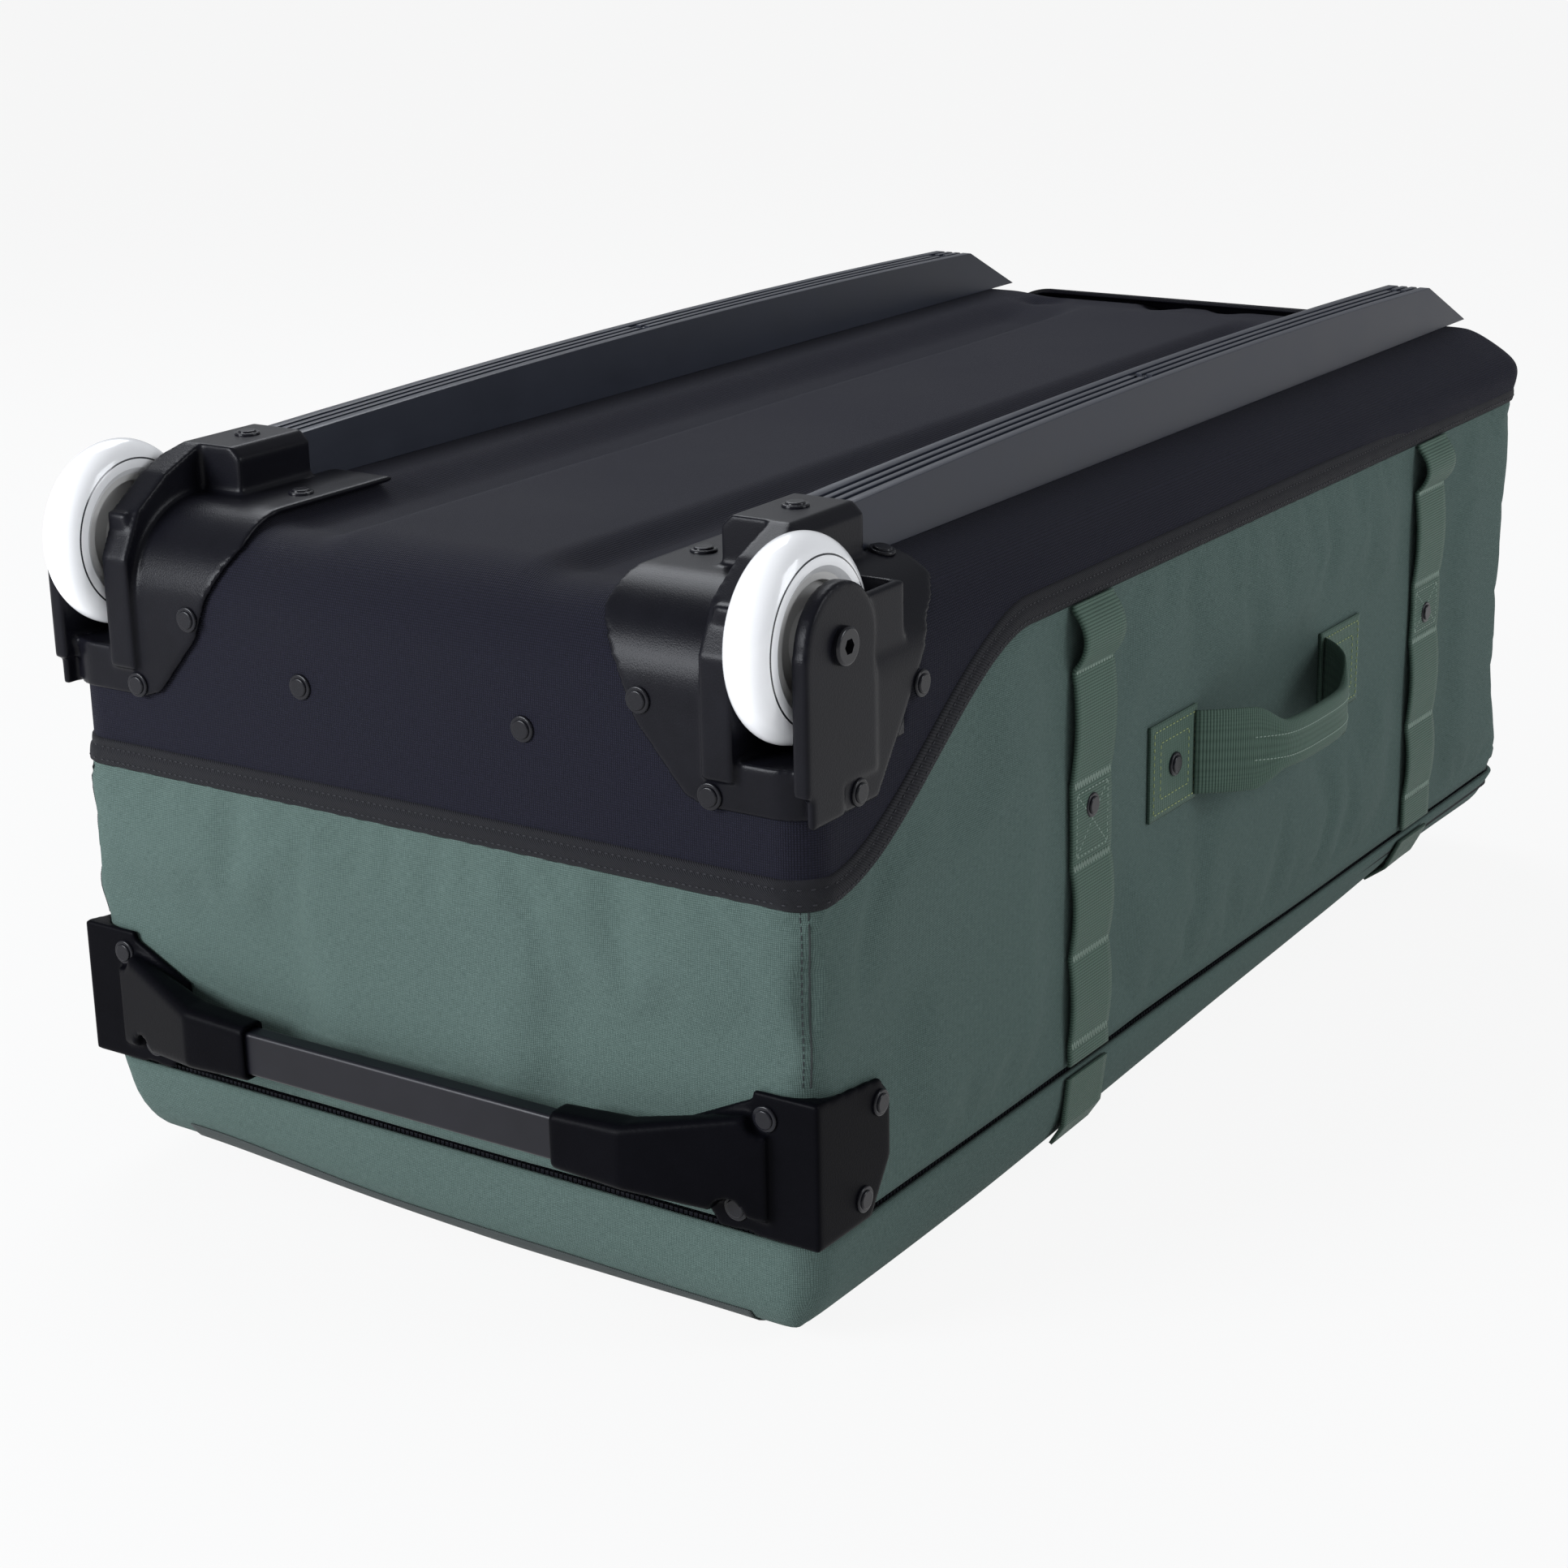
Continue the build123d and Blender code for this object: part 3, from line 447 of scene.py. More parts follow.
# name: (dark colour, light colour, sand, smoothest, roughest), then its relief and the rest
hard_finishes = {
    "sand_plastic": (
        ((0.0028, 0.0028, 0.0042), (0.0085, 0.0085, 0.0125), 1500, 0.26, 0.38),
        dict(relief=0.00016, strength=0.5, Specular_IOR_Level=0.11),
    ),
    # A darker copy of the sand plastic for the foot brackets: painted shade, where they catch little
    # light.
    "dark_plastic": (
        ((0.0010, 0.0010, 0.0016), (0.0035, 0.0035, 0.0055), 1500, 0.34, 0.46),
        dict(relief=0.00016, strength=0.5, Specular_IOR_Level=0.03),
    ),
    "rail_plastic": (
        ((0.008, 0.010, 0.018), (0.019, 0.023, 0.038), 2600, 0.28, 0.42),
        dict(relief=0.0001, strength=0.3, Specular_IOR_Level=0.35),
    ),
    "rivet_lacquer": (
        ((0.005, 0.005, 0.007), (0.012, 0.012, 0.016), 900, 0.14, 0.3),
        dict(relief=0.00005, strength=0.3, Specular_IOR_Level=0.25),
    ),
    "black_steel": (
        ((0.005, 0.005, 0.007), (0.012, 0.012, 0.016), 900, 0.14, 0.3),
        dict(relief=0.00005, strength=0.3, Metallic=0.2, Specular_IOR_Level=0.4),
    ),
    "anodised_bar": (
        ((0.003, 0.003, 0.005), (0.010, 0.010, 0.015), 3000, 0.3, 0.42),
        dict(relief=0.00005, strength=0.3, Specular_IOR_Level=0.25),
    ),
    "bright_tube": (
        ((0.5, 0.51, 0.52), (0.66, 0.67, 0.68), 2500, 0.22, 0.36),
        dict(relief=0.00004, strength=0.3, Metallic=0.95),
    ),
    "bearing_steel": (
        ((0.45, 0.45, 0.46), (0.65, 0.65, 0.66), 2500, 0.15, 0.3),
        dict(relief=0.00004, strength=0.3, Metallic=1.0),
    ),
    "grey_plastic": (
        ((0.06, 0.06, 0.065), (0.1, 0.1, 0.105), 1500, 0.35, 0.5),
        dict(relief=0.0002, strength=0.4),
    ),
    "hub_plastic": (
        ((0.5, 0.49, 0.47), (0.64, 0.63, 0.61), 900, 0.25, 0.4),
        dict(relief=0.0001, strength=0.3),
    ),
    "pale_thread": (
        ((0.16, 0.22, 0.18), (0.34, 0.42, 0.36), 2000, 0.5, 0.7),
        dict(relief=0.0001, Specular_IOR_Level=0.3),
    ),
    "lime_thread": (
        ((0.20, 0.25, 0.10), (0.36, 0.42, 0.2), 2000, 0.5, 0.7),
        dict(relief=0.0001, Specular_IOR_Level=0.3),
    ),
    "black_thread": (
        ((0.012, 0.012, 0.015), (0.035, 0.035, 0.042), 2000, 0.45, 0.6),
        dict(relief=0.0001, Specular_IOR_Level=0.3),
    ),
}
for name, (skin, look) in hard_finishes.items():
    finishes[name] = shade(name, moulded(*skin), **look)
gloss = dict(Coat_Weight=0.5, Coat_Roughness=0.05)
finishes["urethane"] = shade("urethane", urethane, relief=0.00003, strength=0.2, **gloss)
print("finishes", len(finishes))

# %% [markdown]
# ## Dressing the ready-made hard pieces
# Each hard piece of the frame keeps its shape and gets its finish; the foot brackets get a darker copy of
# the sand plastic, which is painted shade. Moulded parts never have razor edges, so a Weld joins their
# loose triangles and a small Bevel rounds the edges to catch the light.

# %% Dress the frame
dressing = {
    "wheel_housing": ("sand_plastic", "melt"),
    # The foot brackets take the darker copy of the sand plastic, which is painted shade.
    "foot_bracket": ("dark_plastic", "melt"),
    "handle_bezel": ("sand_plastic", 0.0008),
    "handle_grip": ("sand_plastic", 0.0006),
    "tube_foot_plate": ("sand_plastic", 0),
    "skid_rail": ("rail_plastic", 0.0004),
    "foot_bar": ("anodised_bar", 0),
    "rail_screws": ("black_steel", 0),
    "axle": ("black_steel", 0),
    "zip_slider": ("black_steel", 0.0003),
    "zip_pull": ("black_webbing", 0.0003),
    "handle_outer_tubes": ("bright_tube", 0),
    "handle_inner_tubes": ("bright_tube", 0),
    "release_button": ("grey_plastic", 0),
    "wheel_tyre": ("urethane", 0),
    "wheel_hub": ("hub_plastic", 0),
    "wheel_bearings": ("bearing_steel", 0),
}


def dress(piece, finish):
    for spot in piece.material_slots:
        spot.material = finishes[finish]
    if not piece.material_slots:
        piece.data.materials.append(finishes[finish])


def soften(piece, width):
    """Joins the triangles and rounds the piece's edges."""
    weld = piece.modifiers.new("join", "WELD")
    weld.merge_threshold = join_gap
    round_off = piece.modifiers.new("round", "BEVEL")
    round_off.width = width
    round_off.segments = 2
    round_off.limit_method = "ANGLE"
    round_off.angle_limit = math.radians(32)
    round_off.use_clamp_overlap = True
    round_off.harden_normals = True


def melt(piece, cell, turns):
    """Rebuilds a blocky moulding with small cells and eases all its edges, like a cast part."""
    weld = piece.modifiers.new("join", "WELD")
    weld.merge_threshold = join_gap
    cells = piece.modifiers.new("cells", "REMESH")
    cells.mode = "VOXEL"
    cells.voxel_size = cell
    cells.use_smooth_shade = True
    ease = piece.modifiers.new("ease", "SMOOTH")
    ease.factor = 0.5
    ease.iterations = turns


melt_cell, melt_turns = 0.0013, 7
dressed = 0
for name, piece in nodes.items():
    for stem, (finish, width) in dressing.items():
        if name.startswith(stem):
            dress(piece, finish)
            dressed += 1
            if width == "melt":
                melt(piece, melt_cell, melt_turns)
            elif width:
                soften(piece, width)
            break
    else:
        if name.endswith("rivets"):
            dress(piece, "rivet_lacquer")
            dressed += 1
print("hard pieces dressed", dressed)

# %% [markdown]
# ## The bag's outline
# Walls, lid, binding and zip all follow one outline, a rectangle with round corners. It is kept as a
# list of stations, each a stretch of the outline and a share of the way along it, with more of them in
# the corners. The corners at the far end are rounder, and the near ones tighten between the hard parts.

# %% Outline
corner_steps = 9
long_steps, short_steps = 132, 72
stations = []
for stretch in range(8):
    steps = corner_steps if stretch % 2 else (long_steps, short_steps)[stretch // 2 % 2]
    stations += [(stretch, step / steps) for step in range(steps)]


def near_radius(z):
    return 0.018 - 0.007 * smooth(0.126, 0.146, z) * (1 - smooth(0.196, 0.222, z))


def far_radius(z):
    return 0.026 + 0.014 * smooth(0.066, 0.12, z) - 0.010 * smooth(0.15, 0.30, z)


def outline(station, z, grow=0.0):
    """Place on the outline at a height, moved `grow` outwards, with its outward direction."""
    stretch, share = stations[station % len(stations)]
    near, far = near_radius(z), far_radius(z)
    front, back = wheel_end + near, handle_end - far
    if stretch == 0:
        x, y, out = half_width, front + (back - front) * share, (1, 0)
    elif stretch == 2:
        x, y, out = (half_width - far) * (1 - 2 * share), handle_end, (0, 1)
    elif stretch == 4:
        x, y, out = -half_width, back + (front - back) * share, (-1, 0)
    elif stretch == 6:
        x, y, out = (half_width - near) * (2 * share - 1), wheel_end, (0, -1)
    else:
        radius = far if stretch < 4 else near
        centre_x = (half_width - radius) * (1 if stretch in (1, 7) else -1)
        centre_y = back if stretch < 4 else front
        turn = {1: 0, 3: 90, 5: 180, 7: 270}[stretch]
        angle = math.radians(turn + 90 * share)
        out = (math.cos(angle), math.sin(angle))
        x, y = centre_x + radius * out[0], centre_y + radius * out[1]
    return Vector((x + grow * out[0], y + grow * out[1], z)), Vector((out[0], out[1], 0))


lengths = [0.0]
for station in range(len(stations)):
    step = outline(station + 1, 0.2)[0] - outline(station, 0.2)[0]
    lengths.append(lengths[-1] + step.length)
around = lengths[-1]


def walk(pitch):
    """Equal steps round the outline: the station just passed and the share of the way to the next."""
    station = 0
    for index in range(int(around / pitch)):
        way = index * pitch
        while lengths[station + 1] < way:
            station += 1
        yield station, (way - lengths[station]) / (lengths[station + 1] - lengths[station])


print("stations", len(stations), "way round", round(around, 3), "m")

# %% [markdown]
# ## Tools for sewn pieces
# A sewn piece starts as a flat grid with a map in metres, and each point is then moved to its place, as
# cloth is laid over a form. Solidify gives it thickness. Shared helpers make the object, its finish and
# the ties to the frame: the body it rides on and the plain solids that it stands for.

# %% Sewing tools


def cloth_grid(columns, rows, width, length):
    """Flat grid one unit square about the origin, mapped in metres."""
    bm = bmesh.new()
    chart = bm.loops.layers.uv.new("cloth_map")
    bmesh.ops.create_grid(bm, x_segments=columns, y_segments=rows, size=0.5)
    for face in bm.faces:
        for loop in face.loops:
            at = loop.vert.co
            loop[chart].uv = ((at.x + 0.5) * width, (at.y + 0.5) * length)
    return bm


def make_piece(name, bm, body, finish, stands_for=(), thick=0.0, inward=True, flat=False):
    """Turns a worked mesh into a finished object that rides on a body."""
    mesh = bpy.data.meshes.new(name)
    bmesh.ops.remove_doubles(bm, verts=bm.verts, dist=join_gap)
    bm.to_mesh(mesh)
    bm.free()
    if not flat:
        mesh.shade_smooth()
    piece = bpy.data.objects.new(name, mesh)
    scene.collection.objects.link(piece)
    mesh.materials.append(finishes[finish])
    if thick:
        wall = piece.modifiers.new("thickness", "SOLIDIFY")
        wall.thickness = thick
        wall.offset = -1 if inward else 1
        wall.use_even_offset = False
    if body:
        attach(piece, body)
    if stands_for:
        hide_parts(*stands_for)
    print(name, len(mesh.polygons), "faces on", body or "two bodies")
    return piece


def face_out(bm):
    """Turns all faces over if most of them point inwards."""
    bm.normal_update()
    if not away_from_middle(bm):
        bmesh.ops.reverse_faces(bm, faces=bm.faces)
        bm.normal_update()


def away_from_middle(bm):
    """True where most faces point away from the bag's middle line."""
    bm.faces.ensure_lookup_table()
    vote = 0
    for face in bm.faces:
        at = face.calc_center_median()
        middle = Vector((0, max(wheel_end + 0.22, min(handle_end - 0.22, at.y)), 0.19))
        vote += 1 if face.normal.dot(at - middle) > 0 else -1
    return vote > 0


kept_clear = ("wheel_housing", "foot_bracket", "strap_", "handle_patches", "handle_bezel", "zip_slider")
hard_boxes = []
for name in nodes:
    if name.startswith(kept_clear):
        if name.startswith("handle_patches"):
            lo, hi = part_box(name)
            hard_boxes.append((Vector((lo.x, lo.y, lo.z)), Vector((hi.x, lo.y + 0.05, hi.z))))
            hard_boxes.append((Vector((lo.x, hi.y - 0.05, lo.z)), Vector((hi.x, hi.y, hi.z))))
        else:
            hard_boxes.append(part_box(name))


def freedom(at):
    """0 under or beside a hard piece or strap, 1 where the cloth is free to swell."""
    free = 1.0
    for lo, hi in hard_boxes:
        gap = Vector([max(lo[i] - at[i], 0, at[i] - hi[i]) for i in range(3)]).length
        free = min(free, smooth(0.004, 0.045, gap))
        if free == 0:
            break
    return free


print("hard boxes", len(hard_boxes))

# %% [markdown]
# ## The green walls
# The walls are one band of cloth round the bag. Their top edge climbs with the seam, and their hem hangs
# just over the zip. The stuffing pushes them out between the hard parts: a short cloth simulation with
# a little air pressure and some spare cloth gives the swell and the soft creases, and each point may
# only move a few millimetres, none at all under the brackets and straps.

# %% Green walls


def hem_z(station):
    """The hem hangs over the zip, but is cut back at the handle end, where the sliders run."""
    stretch = stations[station % len(stations)][0]
    return 0.0638 if stretch in (1, 2, 3) else zip_z + 0.0026


def column(x):
    return round((x + 0.5) * len(stations))


wall_rows = 52
held_edge, held_hem = 0.006, 0.012
bm = cloth_grid(len(stations), wall_rows, around, 0.24)
for vert in bm.verts:
    station, share = column(vert.co.x), vert.co.y + 0.5
    low = hem_z(station)
    top = seam_z(outline(station, 0.24)[0].y) - 0.001
    z = low + (top - low) * share
    vert.co = outline(station, z)[0]
bmesh.ops.remove_doubles(bm, verts=bm.verts, dist=join_gap)
face_out(bm)
mesh = bpy.data.meshes.new("walls_draft")
bm.to_mesh(mesh)
bm.free()


def billow(mesh, held, pressure, frames, spare):
    """Cloth simulation of a mesh with some points held; gives the moved points."""
    dummy = bpy.data.objects.new("billow", mesh.copy())
    scene.collection.objects.link(dummy)
    group = dummy.vertex_groups.new(name="held")
    group.add(held, 1.0, "REPLACE")
    cloth = dummy.modifiers.new("cloth", "CLOTH")
    values = cloth.settings
    values.vertex_group_mass = "held"
    values.quality = 6
    values.mass = 0.25
    values.tension_stiffness = 25
    values.compression_stiffness = 25
    values.bending_stiffness = 1.2
    values.use_pressure = True
    values.uniform_pressure_force = pressure
    values.shrink_min = -spare
    values.effector_weights.gravity = 0
    cloth.collision_settings.use_collision = False
    for step in range(1, frames + 1):
        scene.frame_set(step)
    shaped = dummy.evaluated_get(bpy.context.evaluated_depsgraph_get()).to_mesh()
    places = [vert.co.copy() for vert in shaped.vertices]
    bpy.data.objects.remove(dummy)
    scene.frame_set(1)
    return places


swell_cap = 0.0055
air_pressure, sim_frames, spare_cloth = 2.5, 16, 0.012
places = None
held = []
for vert in mesh.vertices:
    edge = seam_z(vert.co.y) - vert.co.z < held_edge or vert.co.z < zip_z + held_hem
    if edge or freedom(vert.co) < 0.02:
        held.append(vert.index)
places = billow(mesh, held, air_pressure, sim_frames, spare_cloth)
bm = bmesh.new()
bm.from_mesh(mesh)
bm.verts.ensure_lookup_table()
largest = 0.0
for vert in bm.verts:
    at = vert.co.copy()
    free = freedom(at)
    if places:
        move = places[vert.index] - at
    else:
        belly = math.sin(math.pi * min(1, max(0, (at.z - zip_z) / max(0.01, seam_z(at.y) - zip_z))))
        move = Vector((at.x / half_width, (at.y - mid_y) / half_length, 0)) * 0.004 * belly
    if move.length > swell_cap:
        move *= swell_cap / move.length
    crease = noise.noise(Vector((at.x * 7, at.y * 11, at.z * 9))) * 0.0011 * free
    outwards = Vector((at.x if abs(at.x) > half_width - 0.02 else 0, 0, 0))
    if outwards.length == 0:
        outwards = Vector((0, at.y - mid_y, 0))
    vert.co = at + move * free + outwards.normalized() * crease
    largest = max(largest, (vert.co - at).length)
walls = make_piece("green_walls", bm, "bag", "green_cloth", ("body_walls",), 0.003)
print("walls moved by at most", round(largest * 1000, 2), "mm")

# %% [markdown]
# ## The moulded black back
# Foam under cloth, pressed hot in a mould: a flat top with rounded edges, a raised middle panel between
# two sloping channels, and three small dimples near the handle. One square grid is drawn over it like a
# skin, ring by ring from the middle of the top to the seam. The channels are a height taken from x and y.

# %% Moulded back
edge_round = 0.040
flat_share = 0.60
corner_zone = 0.10
channel_depth = 0.0085
dimples = ((-0.095, 0.757), (-0.017, 0.775), (0.029, 0.781))


def ring_place(a, b, half_x, half_y, near, far):
    """Place on a rounded rectangle for a point of the unit square's edge."""
    radius = far if b > 0 else near
    straight = 1 - corner_zone
    side = 1 if a >= 0 else -1
    end = 1 if b >= 0 else -1
    if abs(a) <= straight:
        return a / straight * (half_x - radius), end * half_y
    if abs(b) <= straight:
        way = (b / straight + 1) / 2
        return side * half_x, (-half_y + near) + way * (2 * half_y - near - far)
    if abs(a) >= abs(b):
        turn = math.radians(45 * (abs(b) - straight) / corner_zone)
        across, along = math.cos(turn), math.sin(turn)
    else:
        turn = math.radians(45 * (abs(a) - straight) / corner_zone)
        across, along = math.sin(turn), math.cos(turn)
    return side * (half_x - radius + radius * across), end * (half_y - radius + radius * along)


def skin_place(a, b, profile, near, far):
    """Place on a domed skin: a and b run from -1 to 1, and profile() gives inset and height."""
    ring = max(abs(a), abs(b), 0.00001)
    unit_a, unit_b = a / ring, b / ring
    edge_y = mid_y + ring_place(unit_a, unit_b, half_width, half_length, near, far)[1]
    edge_x = ring_place(unit_a, unit_b, half_width, half_length, near, far)[0]
    share = max(0.0, (ring - flat_share) / (1 - flat_share))
    inset, z = profile(share, edge_x, edge_y)
    shrink = min(1.0, ring / flat_share)
    half_x, half_y = (half_width - inset) * shrink, (half_length - inset) * shrink
    near_now, far_now = (max(0.003, r - inset) * shrink for r in (near, far))
    x, y = ring_place(unit_a, unit_b, half_x, half_y, near_now, far_now)
    return Vector((x, mid_y + y, z))


def back_profile(share, edge_x, edge_y):
    """From the flat top round the edge and down to the seam."""
    quarter = edge_round * math.pi / 2
    upright = shell_top - edge_round - seam_z(edge_y)
    way = share * (quarter + upright)
    if way < quarter:
        turn = way / edge_round
        return edge_round * (1 - math.sin(turn)), shell_top - edge_round * (1 - math.cos(turn))
    return 0.0, shell_top - edge_round - (way - quarter)


def channel(x, y):
    """Depth of the two moulded channels and the dimples."""
    across = smooth(0.050, 0.072, abs(x)) * (1 - smooth(0.092, 0.118, abs(x)))
    near, far = wheel_end + 0.006, wheel_end + 0.70
    along = smooth(near, near + 0.05, y) * (1 - smooth(far, far + 0.055, y))
    depth = channel_depth * across * along
    panel_end = smooth(wheel_end + 0.735, wheel_end + 0.755, y) * (1 - smooth(0.10, 0.13, abs(x)))
    depth += 0.0022 * panel_end
    for spot_x, spot_y in dimples:
        away = math.hypot(x - spot_x, y - wheel_end - spot_y)
        depth += 0.0048 * (1 - smooth(0.005, 0.018, away)) - 0.0014 * (1 - smooth(0.0, 0.006, away))
    return depth


skin_cells = 190
bm = cloth_grid(skin_cells, skin_cells, 0.6, 1.0)
for vert in bm.verts:
    at = skin_place(2 * vert.co.x, 2 * vert.co.y, back_profile, 0.018, 0.030)
    topness = smooth(shell_top - 0.03, shell_top - 0.004, at.z)
    at.z -= channel(at.x, at.y) * topness
    lip = smooth(0.10, 0.38, at.y) * smooth(0.150, 0.185, abs(at.x))
    lip *= math.exp(-(((at.z - 0.315) / 0.014) ** 2))
    at.x += math.copysign(0.006, at.x) * lip * smooth(0.19, 0.21, abs(at.x))
    at.y += 0.005 * lip * smooth(handle_end - 0.03, handle_end - 0.005, at.y)
    ripple = noise.noise(Vector((at.x * 9, at.y * 6, at.z * 9))) * 0.0008 * freedom(at)
    at.z -= abs(ripple)
    vert.co = at
face_out(bm)
holes = []
for face in bm.faces:
    at = face.calc_center_median()
    in_well = abs(at.x) > 0.170 and at.y < wheel_end + 0.0735 and at.z > 0.2715
    in_cup = abs(at.x) < 0.090 and at.y > handle_end - 0.008 and 0.306 < at.z < 0.332
    if in_well or in_cup:
        holes.append(face)
bmesh.ops.delete(bm, geom=holes, context="FACES")
back = make_piece("moulded_back", bm, "bag", "back_cloth", ("back_shell",), 0.0035)

# %% [markdown]
# ## The lid
# The lid is the tray of cloth on which the bag lies. It drops straight from the zip and turns under, full
# at the wheel end and more tucked in at the handle end. It uses the same skin as the back, upside down.

# %% Lid
full_lid = [(0, 0.13, 0.0), (0.35, 0.055, 0.0004), (0.55, 0.02, 0.003), (0.7, 0.005, 0.010)]
full_lid += [(0.82, 0.0004, 0.024), (1, 0.0, 0.0534)]
tucked_lid = [(0, 0.13, 0.0), (0.35, 0.085, 0.005), (0.55, 0.05, 0.013), (0.7, 0.026, 0.024)]
tucked_lid += [(0.82, 0.009, 0.036), (1, 0.0, 0.0534)]


def along_curve(points, share):
    for (s0, a0, b0), (s1, a1, b1) in zip(points, points[1:]):
        if share <= s1:
            way = (share - s0) / (s1 - s0)
            return a0 + (a1 - a0) * way, b0 + (b1 - b0) * way
    return points[-1][1:]


def lid_profile(share, edge_x, edge_y):
    full, tucked = along_curve(full_lid, share), along_curve(tucked_lid, share)
    tuck = 0.85 * smooth(wheel_end + 0.12, handle_end, edge_y) + 0.3 * smooth(0.05, -0.21, edge_x)
    tuck = min(1.0, tuck + 0.25 * smooth(half_width - 0.02, half_width, abs(edge_x)))
    return tuple(f + (t - f) * tuck for f, t in zip(full, tucked))


bm = cloth_grid(130, 130, 0.6, 1.0)
for vert in bm.verts:
    vert.co = skin_place(2 * vert.co.x, 2 * vert.co.y, lid_profile, 0.018, 0.026)
inner = [vert for vert in bm.verts if not vert.is_boundary and vert.co.z < 0.046]
for turn in range(4):
    bmesh.ops.smooth_vert(bm, verts=inner, factor=0.5, use_axis_x=True, use_axis_y=True, use_axis_z=True)
for vert in inner:
    crease = noise.noise(Vector((vert.co.x * 8, vert.co.y * 8, vert.co.z * 20)))
    lift = smooth(0.0005, 0.012, vert.co.z) * (1 - smooth(0.03, 0.045, vert.co.z))
    outwards = Vector((vert.co.x / half_width, (vert.co.y - mid_y) / half_length, 0))
    vert.co += outwards * crease * 0.0022 * lift
    vert.co.z = max(vert.co.z, 0.0002)
face_out(bm)
lid = make_piece("lid_cloth", bm, "lid", "green_cloth", ("lid_panel",), 0.0028)

# %% [markdown]
# ## The zip
# Two tapes with a row of teeth each, one on the walls and one on the lid. The tape is a band that
# follows the outline a little inside the cloth, and every tooth is a small block on its edge.

# %% Zip
tooth_pitch = 0.0028
tooth_size = (0.0016, 0.0020, 0.0022, 1)


def zip_inset(station):
    """The tape lies flush at the handle end, and behind the hem elsewhere."""
    y = outline(station, zip_z)[0].y
    return -0.0036 + 0.0012 * smooth(handle_end - 0.03, handle_end - 0.001, y)


def zip_half(name, low, high, tooth_z, body, stands_for):
    bm = cloth_grid(len(stations), 3, around, high - low)
    for vert in bm.verts:
        station, share = column(vert.co.x), vert.co.y + 0.5
        vert.co = outline(station, low + (high - low) * share, zip_inset(station))[0]
    bmesh.ops.remove_doubles(bm, verts=bm.verts, dist=join_gap)
    face_out(bm)
    tape = make_piece(name + "_tape", bm, body, "black_webbing", stands_for, 0.0007)
    teeth = bmesh.new()
    for station, share in walk(tooth_pitch):
        here, out = outline(station, tooth_z, zip_inset(station) - 0.0004)
        following = outline(station + 1, tooth_z, zip_inset(station) - 0.0004)[0]
        place = here.lerp(following, share)
        run = Vector((-out.y, out.x, 0))
        turn = Matrix((run, out, Vector((0, 0, 1)))).transposed().to_4x4()
        size = Matrix.Diagonal(tooth_size)
        bmesh.ops.create_cube(teeth, size=1.0, matrix=Matrix.Translation(place) @ turn @ size)
    make_piece(name + "_teeth", teeth, body, "rivet_lacquer", flat=True)
    return tape


zip_half("zip_upper", zip_z + 0.0011, walls_bottom + 0.003, zip_z + 0.0019, "bag", ("zip_half_body",))
zip_half("zip_lower", lid_top - 0.003, zip_z - 0.0011, zip_z - 0.0019, "lid", ("zip_half_lid",))

# %% [markdown]
# ## The fold that hinges the lid
# Along the left side the lid is sewn on, not zipped. A narrow strip of the green cloth covers that fold.

# %% Lid fold
bm = cloth_grid(60, 10, 0.7, 0.03)
for vert in bm.verts:
    y = mid_y + vert.co.x * (2 * half_length - 0.09)
    z = zip_z + vert.co.y * 0.022
    swell = 0.0011 * (1 - smooth(0.006, 0.011, abs(z - zip_z)))
    vert.co = Vector((-half_width - 0.0006 - swell, y, z))
face_out(bm)
fold = make_piece("lid_fold", bm, None, "green_cloth", (), 0.0008)
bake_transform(fold)

# %% [markdown]
# ## The binding
# A strip of twill tape is folded over the seam between the green walls and the black back. Its section
# has a ridge where it is folded and a dip where the machine stitched it, and it follows the seam all
# the way round.

# %% Binding
tape_half = 0.0072
plan_z = 0.26
bm = cloth_grid(len(stations), 12, around, 2 * tape_half)
for vert in bm.verts:
    station, across = column(vert.co.x), vert.co.y * 2
    first, out = outline(station, plan_z)
    before = seam_z(outline(station - 1, plan_z)[0].y)
    after = seam_z(outline(station + 1, plan_z)[0].y)
    run = (outline(station + 1, plan_z)[0] - outline(station - 1, plan_z)[0]).length
    slope = math.atan2(after - before, max(run, 0.001))
    dip = math.exp(-(((across - 0.35) / 0.14) ** 2))
    proud = 0.0010 + 0.0009 * math.cos(across * 1.9 + 0.5) - 0.0007 * dip
    proud -= 0.0012 * smooth(0.85, 1.0, abs(across))
    z = seam_z(first.y) + across * tape_half / max(0.45, math.cos(slope))
    over = max(0.0, z - (shell_top - edge_round))
    lean = edge_round - math.sqrt(max(0.0, edge_round**2 - over**2))
    vert.co = outline(station, z, proud - lean + 0.0004)[0]
bmesh.ops.remove_doubles(bm, verts=bm.verts, dist=join_gap)
face_out(bm)
binding = make_piece("seam_tape", bm, "bag", "binding_twill", ("seam_binding",), 0.0009)

# %% [markdown]
# ## Webbing straps
# Two straps run down each side. They are sewn down at bar tacks and stand away from the cloth between
# them, like a ladder of belt loops. The strap's distance from the wall is a row of arches that meets
# the wall at each tack.

# %% Webbing straps
strap_face = half_width + 0.0008
strap_low, strap_high = 0.0595, 0.293
strap_width = 0.0395
tacks = {
    "wheel_end": (0.261, 0.204, 0.162, 0.116, 0.070),
    "handle_end": (0.265, 0.210, 0.176, 0.124, 0.080),
}
loft = {0: 0.0068, 1: 0.0026, 2: 0.0004, 3: 0.0024, 4: 0.0022, 5: 0.0003}


def strap_stand(z, rows):
    """How far the strap stands off the wall at a height."""
    stops = (0.291,) + rows + (0.052,)
    for index in range(len(stops) - 1):
        if stops[index] >= z >= stops[index + 1]:
            way = (stops[index] - z) / (stops[index] - stops[index + 1])
            arch = math.sin(math.pi * way) ** 0.8 if 0 < way < 1 else 0
            return loft[index] * arch
    return 0.0


